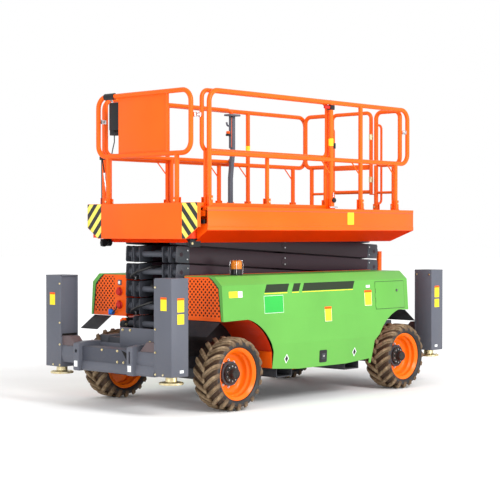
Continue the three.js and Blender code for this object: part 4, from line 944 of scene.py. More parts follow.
# %% [markdown]
# ## End panels
#
# Each end of a tray is closed by the perforated sheet inside a plain frame, with a dark sheet close behind
# it. The frame is a ring of faces bridged between an outer and an inner outline, which needs no cutting. The
# dark backing is painted shade: it makes the holes read as black, like the shaded space behind them.
# %% End panels
def grille(strip):
    """The perforated end panel: u from the inner edge outwards, v from its foot up. The strip is
    the plain width along the inner edge. Returns the panel, its frame and its dark backing."""
    width, height = 0.460, 0.3887
    part = trimmed(perforated(width, height), ((strip - 0.004, 0, 0), (-1, 0, 0)), ((0.448, 0, 0), (1, 0, 0)),
                   ((0, 0.030, 0), (0, -1, 0)), ((0, 0.376, 0), (0, 1, 0)), ((0.452, 0.300, 0), (1, 1.07, 0)))
    bmesh.ops.solidify(part, geom=part.faces, thickness=0.0018)
    bmesh.ops.recalc_face_normals(part, faces=part.faces)
    edge = [(0, 0), (width, 0), (width, 0.308), (0.374, height), (0, height)]
    inner = [(strip, 0.034), (0.444, 0.034), (0.444, 0.2985), (0.3665, 0.372), (strip, 0.372)]
    rim = bmesh.new()
    for line in (edge, inner):
        verts = [rim.verts.new((u, v, 0)) for u, v in line]
        for pair in zip(verts, verts[1:] + verts[:1]):
            rim.edges.new(pair)
    bmesh.ops.bridge_loops(rim, edges=rim.edges)
    bmesh.ops.solidify(rim, geom=rim.faces, thickness=0.003)
    bmesh.ops.recalc_face_normals(rim, faces=rim.faces)
    # The backing is a dark sheet of painted shade, close behind the holes.
    backing = plate(edge, "z", 0.008, 0.010, 0)
    return part, rounded(rim, 0.0008, 1), backing


print("end panels ready")

# %% [markdown]
# ## Sockets
#
# The right tray's front panel has a plain strip with a grey cover, two red caps and a blue
# plug. The caps are turned, and the plug is a rod and a block. Its short cord is held at both
# ends, so it is a bent tube that stays where it lies.
# %% Sockets
def sockets(piece, seat):
    """The charging sockets on the plain strip: a grey cover, two red caps, a blue plug on a cord."""
    piece.add(block((0.062, 0.290, 0), (0.112, 0.340, 0.012), 0.006), GREY, seat)
    piece.add(rod((0.087, 0.315, 0.011), (0.087, 0.315, 0.016), 0.016, 20, 0.002), WHITE, seat)
    for v in (0.270, 0.150):
        piece.add(block((0.060, v - 0.008, 0), (0.114, v + 0.008, 0.001), 0), WHITE, seat)
    for v in (0.226, 0.102):
        cap = [(0.0, 0.0), (0.036, 0.0), (0.036, 0.010), (0.031, 0.014), (0.030, 0.030), (0.025, 0.034),
               (0.0, 0.034)]
        piece.add(turned(cap, (0.087, v, 0.0), (0, 0, 1), 28), RED, seat)
        piece.add(block((0.070, v + 0.026, 0.010), (0.104, v + 0.044, 0.030), 0.006), RED, seat)
    cord = [(0.100, 0.095, 0.030), (0.100, 0.060, 0.045), (0.140, 0.035, 0.045), (0.165, 0.030, 0.030)]
    piece.add(tube(cord, 0.006, 0.018, 10, 4), HOSE, seat)
    piece.add(rod((0.160, 0.028, 0.022), (0.198, 0.036, 0.022), 0.022, 24, 0.004), PLUG_BLUE, seat)
    piece.add(block((0.186, 0.006, 0.0), (0.216, 0.062, 0.040), 0.008), PLUG_BLUE, seat)


print("sockets ready")

# %% [markdown]
# ## Trays
#
# A tray brings together the inner wall, the floor, the arch liners, the end panels and the
# slanted flaps under them. The liners are folded sheets along the same arch outlines that cut
# the cover, so the two always line up. The right tray is the left one mirrored, with the
# sockets, narrower flaps and no dark sheet at its front.
# %% Trays
PLUG_BLUE = painted("plug_blue", (0.012, 0.16, 0.62), rough=0.35, dust=0.1, wear=0.0)
for side, sign in SIDES.items():
    where = Matrix() if sign > 0 else MIRROR_Y
    pod = Piece(f"{side}_tray_and_grilles")
    front_foot = Matrix.Translation((1.3918, 0.390, 0.805))
    front = front_foot @ Matrix(((0, 0, -1), (1, 0, 0), (0, 1, 0))).to_4x4()
    rear = Matrix.Translation((-1.3158, 0.390, 0.805)) @ Matrix(((0, 0, 1), (1, 0, 0), (0, 1, 0))).to_4x4()
    for seat, strip in ((front, 0.018 if sign > 0 else 0.165), (rear, 0.018)):
        # The grille's third part, its dark backing, is painted shade for the space behind the holes.
        for part, paint in zip(grille(strip), (ORANGE, ORANGE, SHADE_BLACK)):
            pod.add(part, paint, where @ seat)
    if sign < 0:
        outwards = Matrix(((0, 0, 1), (1, 0, 0), (0, 1, 0))).to_4x4()
        sockets(pod, where @ front_foot @ outwards)
    # The arch liners are the darker orange, partly painted shade.
    for line, flip in ((FRONT_ARCH, False), (REAR_ARCH, True)):
        liner = folded_sheet(line if flip else line[::-1], "y", 0.391, 0.850, 0.004, 0.03, 3)
        pod.add(liner, SHADED_ORANGE, where)
    pod.add(block((-0.701, 0.391, 0.346), (0.728, 0.850, 0.351), 0.001), BLACK, where)
    # Plain orange on the front liner's lower leg: painted light, brighter than the shaded liner above it.
    pod.add(block((0.7305, 0.560, 0.348), (0.7350, 0.849, 0.500), 0.001), ORANGE, where)
    # The inner wall is the darker orange, partly painted shade.
    wall = [(-0.698, 0.348), (0.725, 0.348), *FRONT_ARCH[::-1][1:-1], (1.390, 0.806), (1.390, 1.186),
            (-1.314, 1.186), *REAR_ARCH[:-1]]
    pod.add(plate(wall, "y", 0.390, 0.394, 0), SHADED_ORANGE, where)
    pod.add(block((-1.314, 0.390, 1.170), (1.390, 0.398, 1.186), 0.001), ORANGE, where)
    near = 0.440 if sign > 0 else 0.600
    for start, run in ((1.390, 0.180), (-1.314, -0.180)):
        flap = [(start, near, 0.802), (start, 0.846, 0.802), (start + run, 0.846, 0.680),
                (start + run, near, 0.680)]
        pod.add(panel(flap, 0.003), GUARD_GREY, where)
    for x0, x1 in ((0.740, 1.380), (-1.306, -0.800)) if sign > 0 else ((-1.306, -0.800),):
        pod.add(block((x0, 0.3955, 0.470), (x1, 0.3985, 0.800), 0.001), BLACK, where)
    pod.finish("chassis", "orange", f"{side}_pod")

# %% [markdown]
# ## Tank and engine
#
# The tank stands in the left tray and the engine in the right one. Almost nothing of them
# shows, so each is one dark block with five bands: enough to fill the shadow behind the
# panels.
# %% Tank and engine
for side, sign, x0, x1, high, name in (("left", 1, -0.560, 0.597, 1.000, "tank_block"),
                                       ("right", -1, -0.560, 0.597, 1.050, "engine_block")):
    where = Matrix() if sign > 0 else MIRROR_Y
    load = Piece(f"{side}_{name}_body")
    load.add(block((x0, 0.420, 0.3525), (x1, 0.800, high), 0.02), BLACK, where)
    for x in spread(x0 + 0.12, x1 - 0.12, 5):
        load.add(block((x - 0.012, 0.415, 0.40), (x + 0.012, 0.801, high + 0.001), 0.004), HOSE, where)
    load.finish("chassis", "black", name)

# %% [markdown]
# ## Outriggers
#
# A box beam across each end carries two tall housings, with a levelling cylinder in each. The
# housings are folded covers: their inner sides stand back behind the flanges, which makes a
# dark step. Two towing lugs stick out, one with a slot for a hook
# and one with a round eye. The rear end is the same assembly, turned by half a turn.
# %% Housings and towing lugs
JACK_X, JACK_Y = 1.889, 0.7315
LUG_Y = 0.359
HOUSING_BOLT = 0.0085


def housing(piece, sign, where):
    mirror = where @ (Matrix() if sign > 0 else MIRROR_Y)
    piece.add(block((1.787, 0.634, 0.354), (1.991, 0.841, 1.196), 0.007), GREY, mirror)
    piece.add(block((1.787, 0.622, 0.354), (1.991, 0.640, 0.640), 0.003), GREY, mirror)
    for x in (1.787, 1.976):
        piece.add(block((x, 0.622, 0.630), (x + 0.015, 0.640, 1.199), 0.003), GREY, mirror)
    piece.add(block((1.787, 0.622, 1.186), (1.991, 0.841, 1.199), 0.003), GREY, mirror)
    # A black strip across the top of the lower inner plate: painted shade in the opening there.
    piece.add(block((1.795, 0.623, 0.640), (1.985, 0.636, 0.660), 0.001), SHADE_BLACK, mirror)
    for z in (0.372, 0.560, 0.760, 1.120):
        piece.add_each(bolt((1.991, 0.640, z), (1, 0, 0), HOUSING_BOLT), ZINC, mirror)
    piece.add_each(bolt((1.991, 0.735, 0.372), (1, 0, 0), HOUSING_BOLT), ZINC, mirror)
    for y in (0.650, 0.810):
        piece.add_each(bolt((1.787, y, 1.150), (-1, 0, 0), HOUSING_BOLT), ZINC, mirror)
    gusset = [(0.430, 0.556), (0.630, 0.556), (0.630, 0.642), (0.515, 0.642)]
    piece.add(plate(gusset, "x", 1.860, 1.975, 0.002), GUSSET_AND_SHADOW_LINE_GREY, mirror)
    label(piece, (1.9912, 0.744, 0.980), (1, 0, 0), (0, 1, 0), 0.074, 0.115, header=ORANGE, where=mirror)
    label(piece, (1.882, 0.8412, 0.970), (0, 1, 0), (-1, 0, 0), 0.080, 0.120, header=ORANGE, where=mirror)
    label(piece, (1.882, 0.8412, 0.849), (0, 1, 0), (-1, 0, 0), 0.080, 0.086, where=mirror)
    label(piece, (1.870, 0.8412, 0.400), (0, 1, 0), (-1, 0, 0), 0.046, 0.024, ground=WHITE, where=mirror)


def lug(sign):
    """A towing lug: a boxy arm with a hook's slot on one side and a round eye on the other."""
    shape = [(1.764, 0.342), (2.036, 0.342), (2.036, 0.590), (1.930, 0.606), (1.764, 0.606)]
    body = plate(filleted(shape, 0.016, 4, True), "y", sign * LUG_Y - 0.038, sign * LUG_Y + 0.038, 0.005)
    if sign > 0:
        return carved(body, block((2.000, 0.349, 0.450), (2.080, 0.367, 0.555), 0))
    return carved(body, rod((2.000, -LUG_Y, 0.520), (2.080, -LUG_Y, 0.520), 0.017, 20))


print("housings and towing lugs ready")

# %% [markdown]
# ## Outrigger beams
#
# The beam and its toe are outlines extruded across the machine, and the plates are blocks. The plate on the
# beam's front is a darker grey than the beam, and a black triangle on it is an outline extruded along the
# machine: both are painted shade. One function builds both ends: the rear assembly is the front one turned by
# half a turn, which is simpler than a mirror image, because no face changes its direction.
# %% Outrigger beams
def outrigger(end, where):
    piece = Piece(f"{end}_outrigger_beam")
    for sign in (1, -1):
        housing(piece, sign, where)
        piece.add(lug(sign), GREY, where)
        label(piece, (2.0362, sign * LUG_Y, 0.405), (1, 0, 0), (0, 1, 0), 0.044, 0.054, ground=WHITE,
              where=where)
    beam = [(1.792, 0.400), (1.972, 0.400), (1.985, 0.470), (1.972, 0.556), (1.792, 0.556)]
    piece.add(plate(filleted(beam, 0.008, 2, True), "y", -0.630, 0.630, 0), GREY, where)
    toe = [(1.800, 0.345), (1.985, 0.345), (2.004, 0.362), (2.004, 0.372), (1.982, 0.438), (1.800, 0.438)]
    piece.add(plate(toe, "y", -0.322, 0.622, 0.003), GREY, where)
    # The front plate's darker grey is painted shade.
    piece.add(block((1.960, -0.322, 0.436), (1.990, 0.322, 0.563), 0.003), SHADED_PLATE_GREY, where)
    piece.add(block((1.790, -0.322, 0.548), (1.965, 0.322, 0.562), 0.004), GREY, where)
    # A black triangle of painted shade on the front plate.
    shade_triangle = [(0.205, 0.556), (0.320, 0.520), (0.320, 0.440), (0.296, 0.440)]
    piece.add(plate(shade_triangle, "x", 1.989, 1.9908, 0), SHADE_BLACK, where)
    for y, z in ((-0.053, 0.545), (0.152, 0.545), (0.152, 0.448), (0.232, 0.448)):
        piece.add_each(bolt((1.990, y, z), (1, 0, 0), 0.010), ZINC, where)
    piece.add(block((1.760, -0.343, 0.345), (1.780, 0.343, 0.590), 0.003), GREY, where)
    piece.add(block((1.760, -0.040, 0.560), (1.790, 0.626, 0.738), 0.005), GREY, where)
    for y, z in ((0.000, 0.716), (0.100, 0.716), (0.560, 0.716), (0.360, 0.620)):
        piece.add_each(bolt((1.790, y, z), (1, 0, 0), 0.011), ZINC, where)
    piece.finish("chassis", "grey", f"{end}_outrigger_frame")


# A darker copy of the slate grey: painted shade on the outrigger's front plate.
SHADED_PLATE_GREY = painted("slate_grey_with_painted_shade", (0.060, 0.065, 0.085), rough=0.45, dust=0.3)
# The same brownish grey is the gusset's own colour and, under the deck's lip, a painted shadow line.
GUSSET_AND_SHADOW_LINE_GREY = painted("gusset_grey_and_painted_shadow_line", (0.115, 0.085, 0.090), rough=0.5, dust=0.4)
outrigger("front", Matrix())
outrigger("rear", HALF_TURN)

# %% [markdown]
# ## Levelling feet
#
# The rod and the round pad of each levelling cylinder are one turned shape, zinc plated, with
# four bolts in the pad. Each rides on its own jack leg, so that it goes down to the ground
# with it.
# %% Levelling feet
FOOT = [(0.0, 0.285), (0.103, 0.285), (0.107, 0.289), (0.107, 0.300), (0.103, 0.304), (0.060, 0.307),
        (0.052, 0.312), (0.050, 0.350), (0.045, 0.352), (0.045, 0.885), (0.041, 0.889), (0.0, 0.889)]
for end, turn in (("front", 1), ("rear", -1)):
    for side, sign in SIDES.items():
        foot = Piece(f"{end}_{side}_levelling_foot")
        foot.add(turned(FOOT, (turn * JACK_X, sign * JACK_Y, 0), (0, 0, 1), 40), ZINC)
        for k in range(4):
            angle = math.radians(45 + 90 * k)
            at = (turn * JACK_X + 0.082 * math.cos(angle), sign * JACK_Y + 0.082 * math.sin(angle), 0.3042)
            foot.add_each(bolt(at, (0, 0, 1), 0.007), ZINC)
        foot.finish(f"{end}_{side}_jack_leg", "zinc", f"{end}_{side}_foot")

# %% [markdown]
# ## Scissor arms
#
# Five crossed pairs of box-section arms lift the deck. Each arm is a straight box whose ends
# are closed by dark grey lug plates with flat noses, except the lowest outer pair's rear end,
# which is round. The pins' places come from the frame's joints, so the pieces follow the
# mechanism. Grey tubes tie the left and right arms together.
# %% Arm outlines
ROW = [pivot["fold"], *(pivot[f"link_{k}"] for k in range(1, 5)), pivot["deck_level"]]
CROSS = [pivot[f"cross_{k}"] for k in range(1, 6)]


def link_outline(a, b, half, steps=8):
    """A long link with round ends, seen from its side: (x, z) pairs."""
    lean = math.degrees(math.atan2(b.z - a.z, b.x - a.x))
    return (arc(b.x, b.z, half, lean - 90, lean + 90, steps)
            + arc(a.x, a.z, half, lean + 90, lean + 270, steps))


def along(a, b, distance):
    return a + (b - a).normalized() * distance


def seat_at(near, far):
    """The frame of an arm's end: its origin on the pin, its +X pointing out of the arm."""
    out = near - far
    return Matrix.Translation(near) @ Matrix.Rotation(-math.atan2(out.z, out.x), 4, "Y")


print("arm outlines ready")

# %% [markdown]
# ## A pair of arms
#
# A pair is a left and a right arm with a box section, lug plates over both ends, a boss on
# the middle pin, and bolts. The parts are placed in the frame of the arm's end, whose origin
# is the pin and whose +X points out of the arm, so a part is drawn once and fits every arm,
# whatever its slope.
# %% Arm pairs
HALF, NOSE = 0.0735, 0.060


def arm_pair(name, a, b, middle, lane, tubes, reach, square=True):
    """Two arms side by side from pin a to pin b, their lug plates and the tubes between them.
    At the front end b two flat lug plates hold the pin's boss. The rear end at a has a plate
    of the same outline, or a round one where square is False."""
    piece = Piece(name)
    y0, y1 = lane
    length = (b - a).length
    body = [(-0.050, -HALF), (-0.050, HALF), *arc(-length, 0.0, HALF, 90, 270, 10)]
    front_lug = [(-0.105, -HALF - 0.001), (NOSE - 0.012, -HALF - 0.001), (NOSE, -HALF + 0.011),
                 (NOSE, HALF - 0.011), (NOSE - 0.012, HALF + 0.001), (-0.105, HALF + 0.001)]
    rear_lug = [(-0.105, -HALF - 0.001), *arc(0, 0, HALF + 0.001, -90, 90, 10), (-0.105, HALF + 0.001)]
    if square:
        rear_lug = front_lug
    for where in BOTH_SIDES:
        front, rear = where @ seat_at(b, a), where @ seat_at(a, b)
        piece.add(plate(body, "y", y0 + 0.001, y1 - 0.003, 0.003), ARM_PAINT, front)
        for inner, outer in ((y0, y0 + 0.010), (y1 - 0.011, y1 - 0.001)):
            piece.add(plate(front_lug, "y", inner, outer, 0.002), LUG_GREY, front)
        piece.add(plate(rear_lug, "y", y0, y1 - 0.001, 0.002), LUG_GREY, rear)
        # A black block on the arm's end face, between the lug plates: painted shade in the recess.
        piece.add(block((-0.048, y0 + 0.009, -HALF), (-0.040, y1 - 0.010, HALF), 0), SHADE_BLACK, front)
        piece.add(rod((0, y0 + 0.004, 0), (0, y1 - 0.005, 0), 0.036, 24, 0.002), LUG_GREY, front)
        piece.add(block((-0.040, y0 + 0.009, -0.010), (0.030, y1 - 0.010, 0.010), 0.002), ARM_GREY, front)
        for seat in (front, rear):
            piece.add(rod((0, y1 - 0.002, 0), (0, y1 + 0.001, 0), 0.034, 28, 0.001), LUG_GREY, seat)
            piece.add(rod((0, y1 + 0.0005, 0), (0, y1 + 0.0018, 0), 0.020, 24, 0), ARM_PAINT, seat)
            for z in (-0.040, 0.040):
                piece.add(rod((-0.080, y1 - 0.001, z), (-0.080, y1 + 0.002, z), 0.008, 6), STEEL, seat)
        boss = middle + Vector((0, y1 - 0.002, 0))
        piece.add(rod(boss, boss + Vector((0, 0.003, 0)), 0.044, 32, 0.001), ARM_PAINT, where)
        for rise in (-0.030, 0.030):
            screw = boss + Vector((0, 0.0025, rise))
            piece.add(rod(screw, screw + Vector((0, 0.003, 0)), 0.007, 6), STEEL, where)
        piece.add(rod(middle + Vector((0, y0, 0)), boss, 0.027, 24), STEEL, where)
    for end, radius in tubes:
        piece.add(rod(end - Vector((0, reach, 0)), end + Vector((0, reach, 0)), radius, 28, 0.002), TUBE_GREY)
    return piece


print("arm pairs ready")

# %% [markdown]
# ## Hoses and rollers
#
# Hydraulic hoses bow round some of the arms' front ends, and rollers carry the lowest and the
# highest front pins along their tracks. A hose is a bent tube between two steel fittings on
# one pair of arms, so it turns with them. A roller is a turned outline.
# %% Hoses and rollers
def hose_bow(piece, seat, side, reach):
    """A hydraulic hose from the middle of an arm's end, round in front of it and back to its foot."""
    line = [(-0.120, 0.0, 0.046), (0.050, side * 0.005, 0.046), (reach, side * 0.110, 0.010),
            (reach, side * 0.215, -0.036), (0.066, side * 0.228, -0.058), (-0.010, side * 0.195, -0.058)]
    piece.add(tube(line, 0.0120, 0.024, 10, 5), HOSE, seat)
    for x, across, z in ((-0.100, 0.0, 0.046), (0.046, side * 0.221, -0.058)):
        piece.add(rod((x - 0.014, across, z), (x + 0.014, across, z), 0.0155, 6, 0.001), STEEL, seat)


def roller_pair(piece, at):
    for where in BOTH_SIDES:
        shape = [(0.0, -0.012), (0.034, -0.012), (0.040, -0.008), (0.040, 0.008), (0.034, 0.012),
                 (0.0, 0.012)]
        piece.add(turned(shape, at + Vector((0, 0.358, 0)), steps=32), BLACK, where)
        piece.add(rod(at + Vector((0, 0.33, 0)), at + Vector((0, 0.347, 0)), 0.024, 20), STEEL, where)


print("hoses and rollers ready")

# %% [markdown]
# ## The arms in place
#
# One loop makes the ten pairs, level by level from below. On each level the outer and the
# inner pair cross at a middle pin, and each front pin is the rear pin reflected in it. The
# second and the fourth outer pairs carry levers for the lift cylinders.
# %% Arms in place
LUG_GREY = painted("arm_lug_grey", (0.058, 0.062, 0.076), rough=0.42, dust=0.2)
TUBE_GREY = painted("cross_tube_grey", (0.085, 0.092, 0.112), rough=0.4, dust=0.2)
for k in range(5):
    rear, middle = ROW[k], CROSS[k]
    front = middle * 2 - rear
    outer = arm_pair(f"outer_arm_pair_{k + 1}", rear, front, middle, (0.250, 0.340),
                     [(rear, 0.028), (front, 0.028)], 0.320, k > 0)
    if k == 4:
        roller_pair(outer, front)
    if k in (1, 3):
        head = along(rear, front, 0.600)
        for where in BOTH_SIDES:
            outer.add(plate(link_outline(rear, head, 0.042), "y", 0.034, 0.054, 0.002), ARM_GREY, where)
        web = link_outline(along(rear, front, 0.060), along(rear, front, 0.200), 0.022, 2)
        outer.add(plate(web, "y", -0.036, 0.036, 0), ARM_GREY)
        outer.add(rod(head - Vector((0, 0.058, 0)), head + Vector((0, 0.058, 0)), 0.0195, 20, 0.002), STEEL)
    outer.finish(f"outer_arms_{k + 1}", "arm", f"outer_arms_{k + 1}")

    rear = ROW[k + 1]
    front = middle * 2 - rear
    tie = along(rear, front, 0.325) + Vector((0, 0, -0.052))
    foot = along(front, rear, 0.600)
    tubes = [(tie, 0.022), (foot, 0.028), (along(front, rear, 0.16), 0.028)]
    inner = arm_pair(f"inner_arm_pair_{k + 1}", rear, front, middle, (0.150, 0.240), tubes, 0.155)
    if k == 0:
        inner.add(rod(front - Vector((0, 0.346, 0)), front + Vector((0, 0.346, 0)), 0.028, 28, 0.002),
                  TUBE_GREY)
        roller_pair(inner, front)
    if k == 4:
        inner.add(rod(rear - Vector((0, 0.370, 0)), rear + Vector((0, 0.370, 0)), 0.027, 28, 0.002), STEEL)
    if k in (1, 2, 3):
        hose_bow(inner, seat_at(front, rear), -1 if k != 2 else 1, 0.112)
    inner.finish(f"inner_arms_{k + 1}", "arm", f"inner_arms_{k + 1}")

# %% [markdown]
# ## Pieces that keep their CAD shape
#
# The lift cylinders, axles, knuckles and steering rod are plain bodies that hardly show, so a
# new mesh would add nothing. They get a paint only: black barrels, chrome rods, dark grey
# axles and knuckles.
# %% Paint for kept pieces
KEPT_PAINT = {"lift_barrel": BLACK, "lift_rod": CHROME, "knuckle": GUARD_GREY, "steering_rod": CHROME,
              "front_axle": GUARD_GREY, "rear_axle": GUARD_GREY}
for name, made in frame["nodes"].items():
    for words, paint in KEPT_PAINT.items():
        if words in name:
            made.data.materials.clear()
            made.data.materials.append(paint)
print("arms made; the cylinders, axles and knuckles keep their CAD shapes")

# %% [markdown]
# ## Chassis
#
# Two box beams run the machine's whole length, with the fork pockets across them. Under the
# covers little shows, so the detail goes where it is seen: the pockets' open ends, the
# tracks for the rollers, the pin lugs at the rear, and the orange stop with its black roller
# at the front foot of the scissor.
# %% Chassis
chassis = Piece("chassis_beams")
for where in BOTH_SIDES:
    chassis.add(block((-1.760, 0.240, 0.350), (1.760, 0.340, 0.655), 0.006), GUARD_GREY, where)
    for x in spread(-1.5, 1.5, 7):
        chassis.add(block((x - 0.04, 0.236, 0.647), (x + 0.04, 0.344, 0.657), 0.002), GUARD_GREY, where)
    for low, high in ((0.6915, 0.7000), (0.7840, 0.7925)):
        chassis.add(block((0.240, 0.345, low), (1.460, 0.385, high), 0.001), GUARD_GREY, where)
    chassis.add(block((0.240, 0.3765, 0.6915), (1.460, 0.385, 0.7925), 0.001), GUARD_GREY, where)
    for x in (0.30, 0.72, 1.14, 1.42):
        chassis.add(block((x - 0.03, 0.300, 0.650), (x + 0.03, 0.384, 0.693), 0.002), GUARD_GREY, where)
    lugs = [(-1.510, 0.650), (-1.390, 0.650), (-1.390, 0.742), *arc(-1.450, 0.742, 0.060, 0, 180, 10)]
    chassis.add(plate(lugs, "y", 0.346, 0.376, 0.003), GUARD_GREY, where)
    chassis.add(rod((-1.450, 0.376, 0.742), (-1.450, 0.384, 0.742), 0.036, 28, 0.002), STEEL, where)
    chassis.add(block((1.500, 0.272, 0.655), (1.516, 0.312, 0.800), 0.003), ORANGE, where)
    chassis.add(block((1.516, 0.266, 0.655), (1.580, 0.272, 0.790), 0.002), ORANGE, where)
    chassis.add(rod((1.560, 0.212, 0.745), (1.560, 0.262, 0.745), 0.036, 32, 0.005), BLACK, where)
    for face in (0.207, 0.259):
        chassis.add(rod((1.560, face, 0.745), (1.560, face + 0.008, 0.745), 0.013, 6), ZINC, where)
for x in (-1.70, -1.00, -0.02, 0.95, 1.70):
    chassis.add(block((x - 0.045, -0.245, 0.380), (x + 0.045, 0.245, 0.640), 0.006), GUARD_GREY)
for x in (0.5, -0.5):
    for low, high in ((0.250, 0.258), (0.3377, 0.3457)):
        chassis.add(block((x - 0.110, -0.800, low), (x + 0.110, 0.800, high), 0.002), GUARD_GREY)
    for wall in (-0.110, 0.102):
        chassis.add(block((x + wall, -0.800, 0.250), (x + wall + 0.008, 0.800, 0.3457), 0.002), GUARD_GREY)
chassis.finish("chassis", "grey", "chassis_frame")

# %% [markdown]
# ## Rear ladder
#
# Two uprights and four rungs lead up to the platform's entry. They are blocks, and rows of
# small studs on each rung keep a boot from slipping.
# %% Rear ladder
ladder = Piece("rear_ladder_rungs")
for where in BOTH_SIDES:
    ladder.add(block((-1.650, 0.262, 0.6553), (-1.595, 0.292, 1.3905), 0.004), ORANGE, where)
    for z in (0.70, 1.34):
        ladder.add_each(bolt((-1.650, 0.277, z), (-1, 0, 0), 0.008), ZINC, where)
for z in spread(0.745, 1.3605, 4):
    ladder.add(block((-1.650, -0.265, z), (-1.595, 0.265, z + 0.030), 0.004), ORANGE)
    for y in spread(-0.22, 0.22, 10):
        ladder.add(rod((-1.6225, y, z + 0.029), (-1.6225, y, z + 0.0325), 0.009, 12, 0.001), BLACK)
ladder.finish("chassis", "orange", "rear_ladder")

# %% [markdown]
# ## Deck
#
# The main deck is a shallow tray with folded sides: a lip round the top, a plain vertical
# band, and an inclined skirt that hides the scissor's top. The skirt is in the shade, so the
# fold between it and the band reads as a bright line. The floor is tread plate, whose raised
# lozenges are only a bump pattern, since nobody sees them from the side.
# %% Tread plate and stripes
def tread_plate():
    material, tree, shader, position = bare_material("tread_plate")
    heights = []
    for turn, shift in ((45, 0.0), (-45, 0.5)):
        spun = add(tree, "Mapping", Vector=position)
        spun.inputs["Rotation"].default_value = (0, 0, math.radians(turn))
        spun.inputs["Scale"].default_value = (38, 14, 1)
        spun.inputs["Location"].default_value = (shift, shift, 0)
        dots = add(tree, "TexVoronoi", {"feature": "F1", "voronoi_dimensions": "2D"}, Vector=spun.outputs[0],
                   Randomness=0.0, Scale=1.0)
        heights.append(between(tree, dots.outputs["Distance"], 0.30, 0.18))
    lozenge = maths(tree, "MAXIMUM", *heights)
    bump = add(tree, "Bump", Strength=0.6, Distance=0.0015, Height=lozenge)
    tree.links.new(bump.outputs[0], shader.inputs["Normal"])
    dirt = place(tree, DUST, Position=position, Amount=0.8, Top=0.1)["Mask"]
    worn = mixed(tree, maths(tree, "MULTIPLY", lozenge, 0.6), (0.16, 0.165, 0.175, 1), (0.40, 0.41, 0.42, 1))
    tree.links.new(mixed(tree, dirt, worn, DUST_COLOUR), shader.inputs["Base Color"])
    tree.links.new(between(tree, lozenge, 0.0, 1.0, 0.55, 0.32), shader.inputs["Roughness"])
    shader.inputs["Metallic"].default_value = 0.7
    return material


def stripes():
    """Yellow and black warning stripes that lean outwards and down on both ends."""
    material, tree, shader, position = bare_material("warning_stripes")
    axes = add(tree, "SeparateXYZ", Vector=position).outputs
    run = maths(tree, "ADD", maths(tree, "MULTIPLY", maths(tree, "ABSOLUTE", axes["Y"]), 1.1), axes["Z"])
    share = maths(tree, "FRACT", maths(tree, "DIVIDE", maths(tree, "SUBTRACT", run, 0.045), 0.126))
    black = maths(tree, "GREATER_THAN", share, 0.5)
    cloud = place(tree, CLOUD, Position=position, Scale=9.0)["Mask"]
    yellow = mixed(tree, cloud, (0.80, 0.68, 0.08, 1), (0.86, 0.76, 0.14, 1))
    tree.links.new(mixed(tree, black, yellow, (0.014, 0.014, 0.015, 1)), shader.inputs["Base Color"])
    tree.links.new(between(tree, cloud, 0.0, 1.0, 0.38, 0.5), shader.inputs["Roughness"])
    return material


print("tread plate and stripes ready")

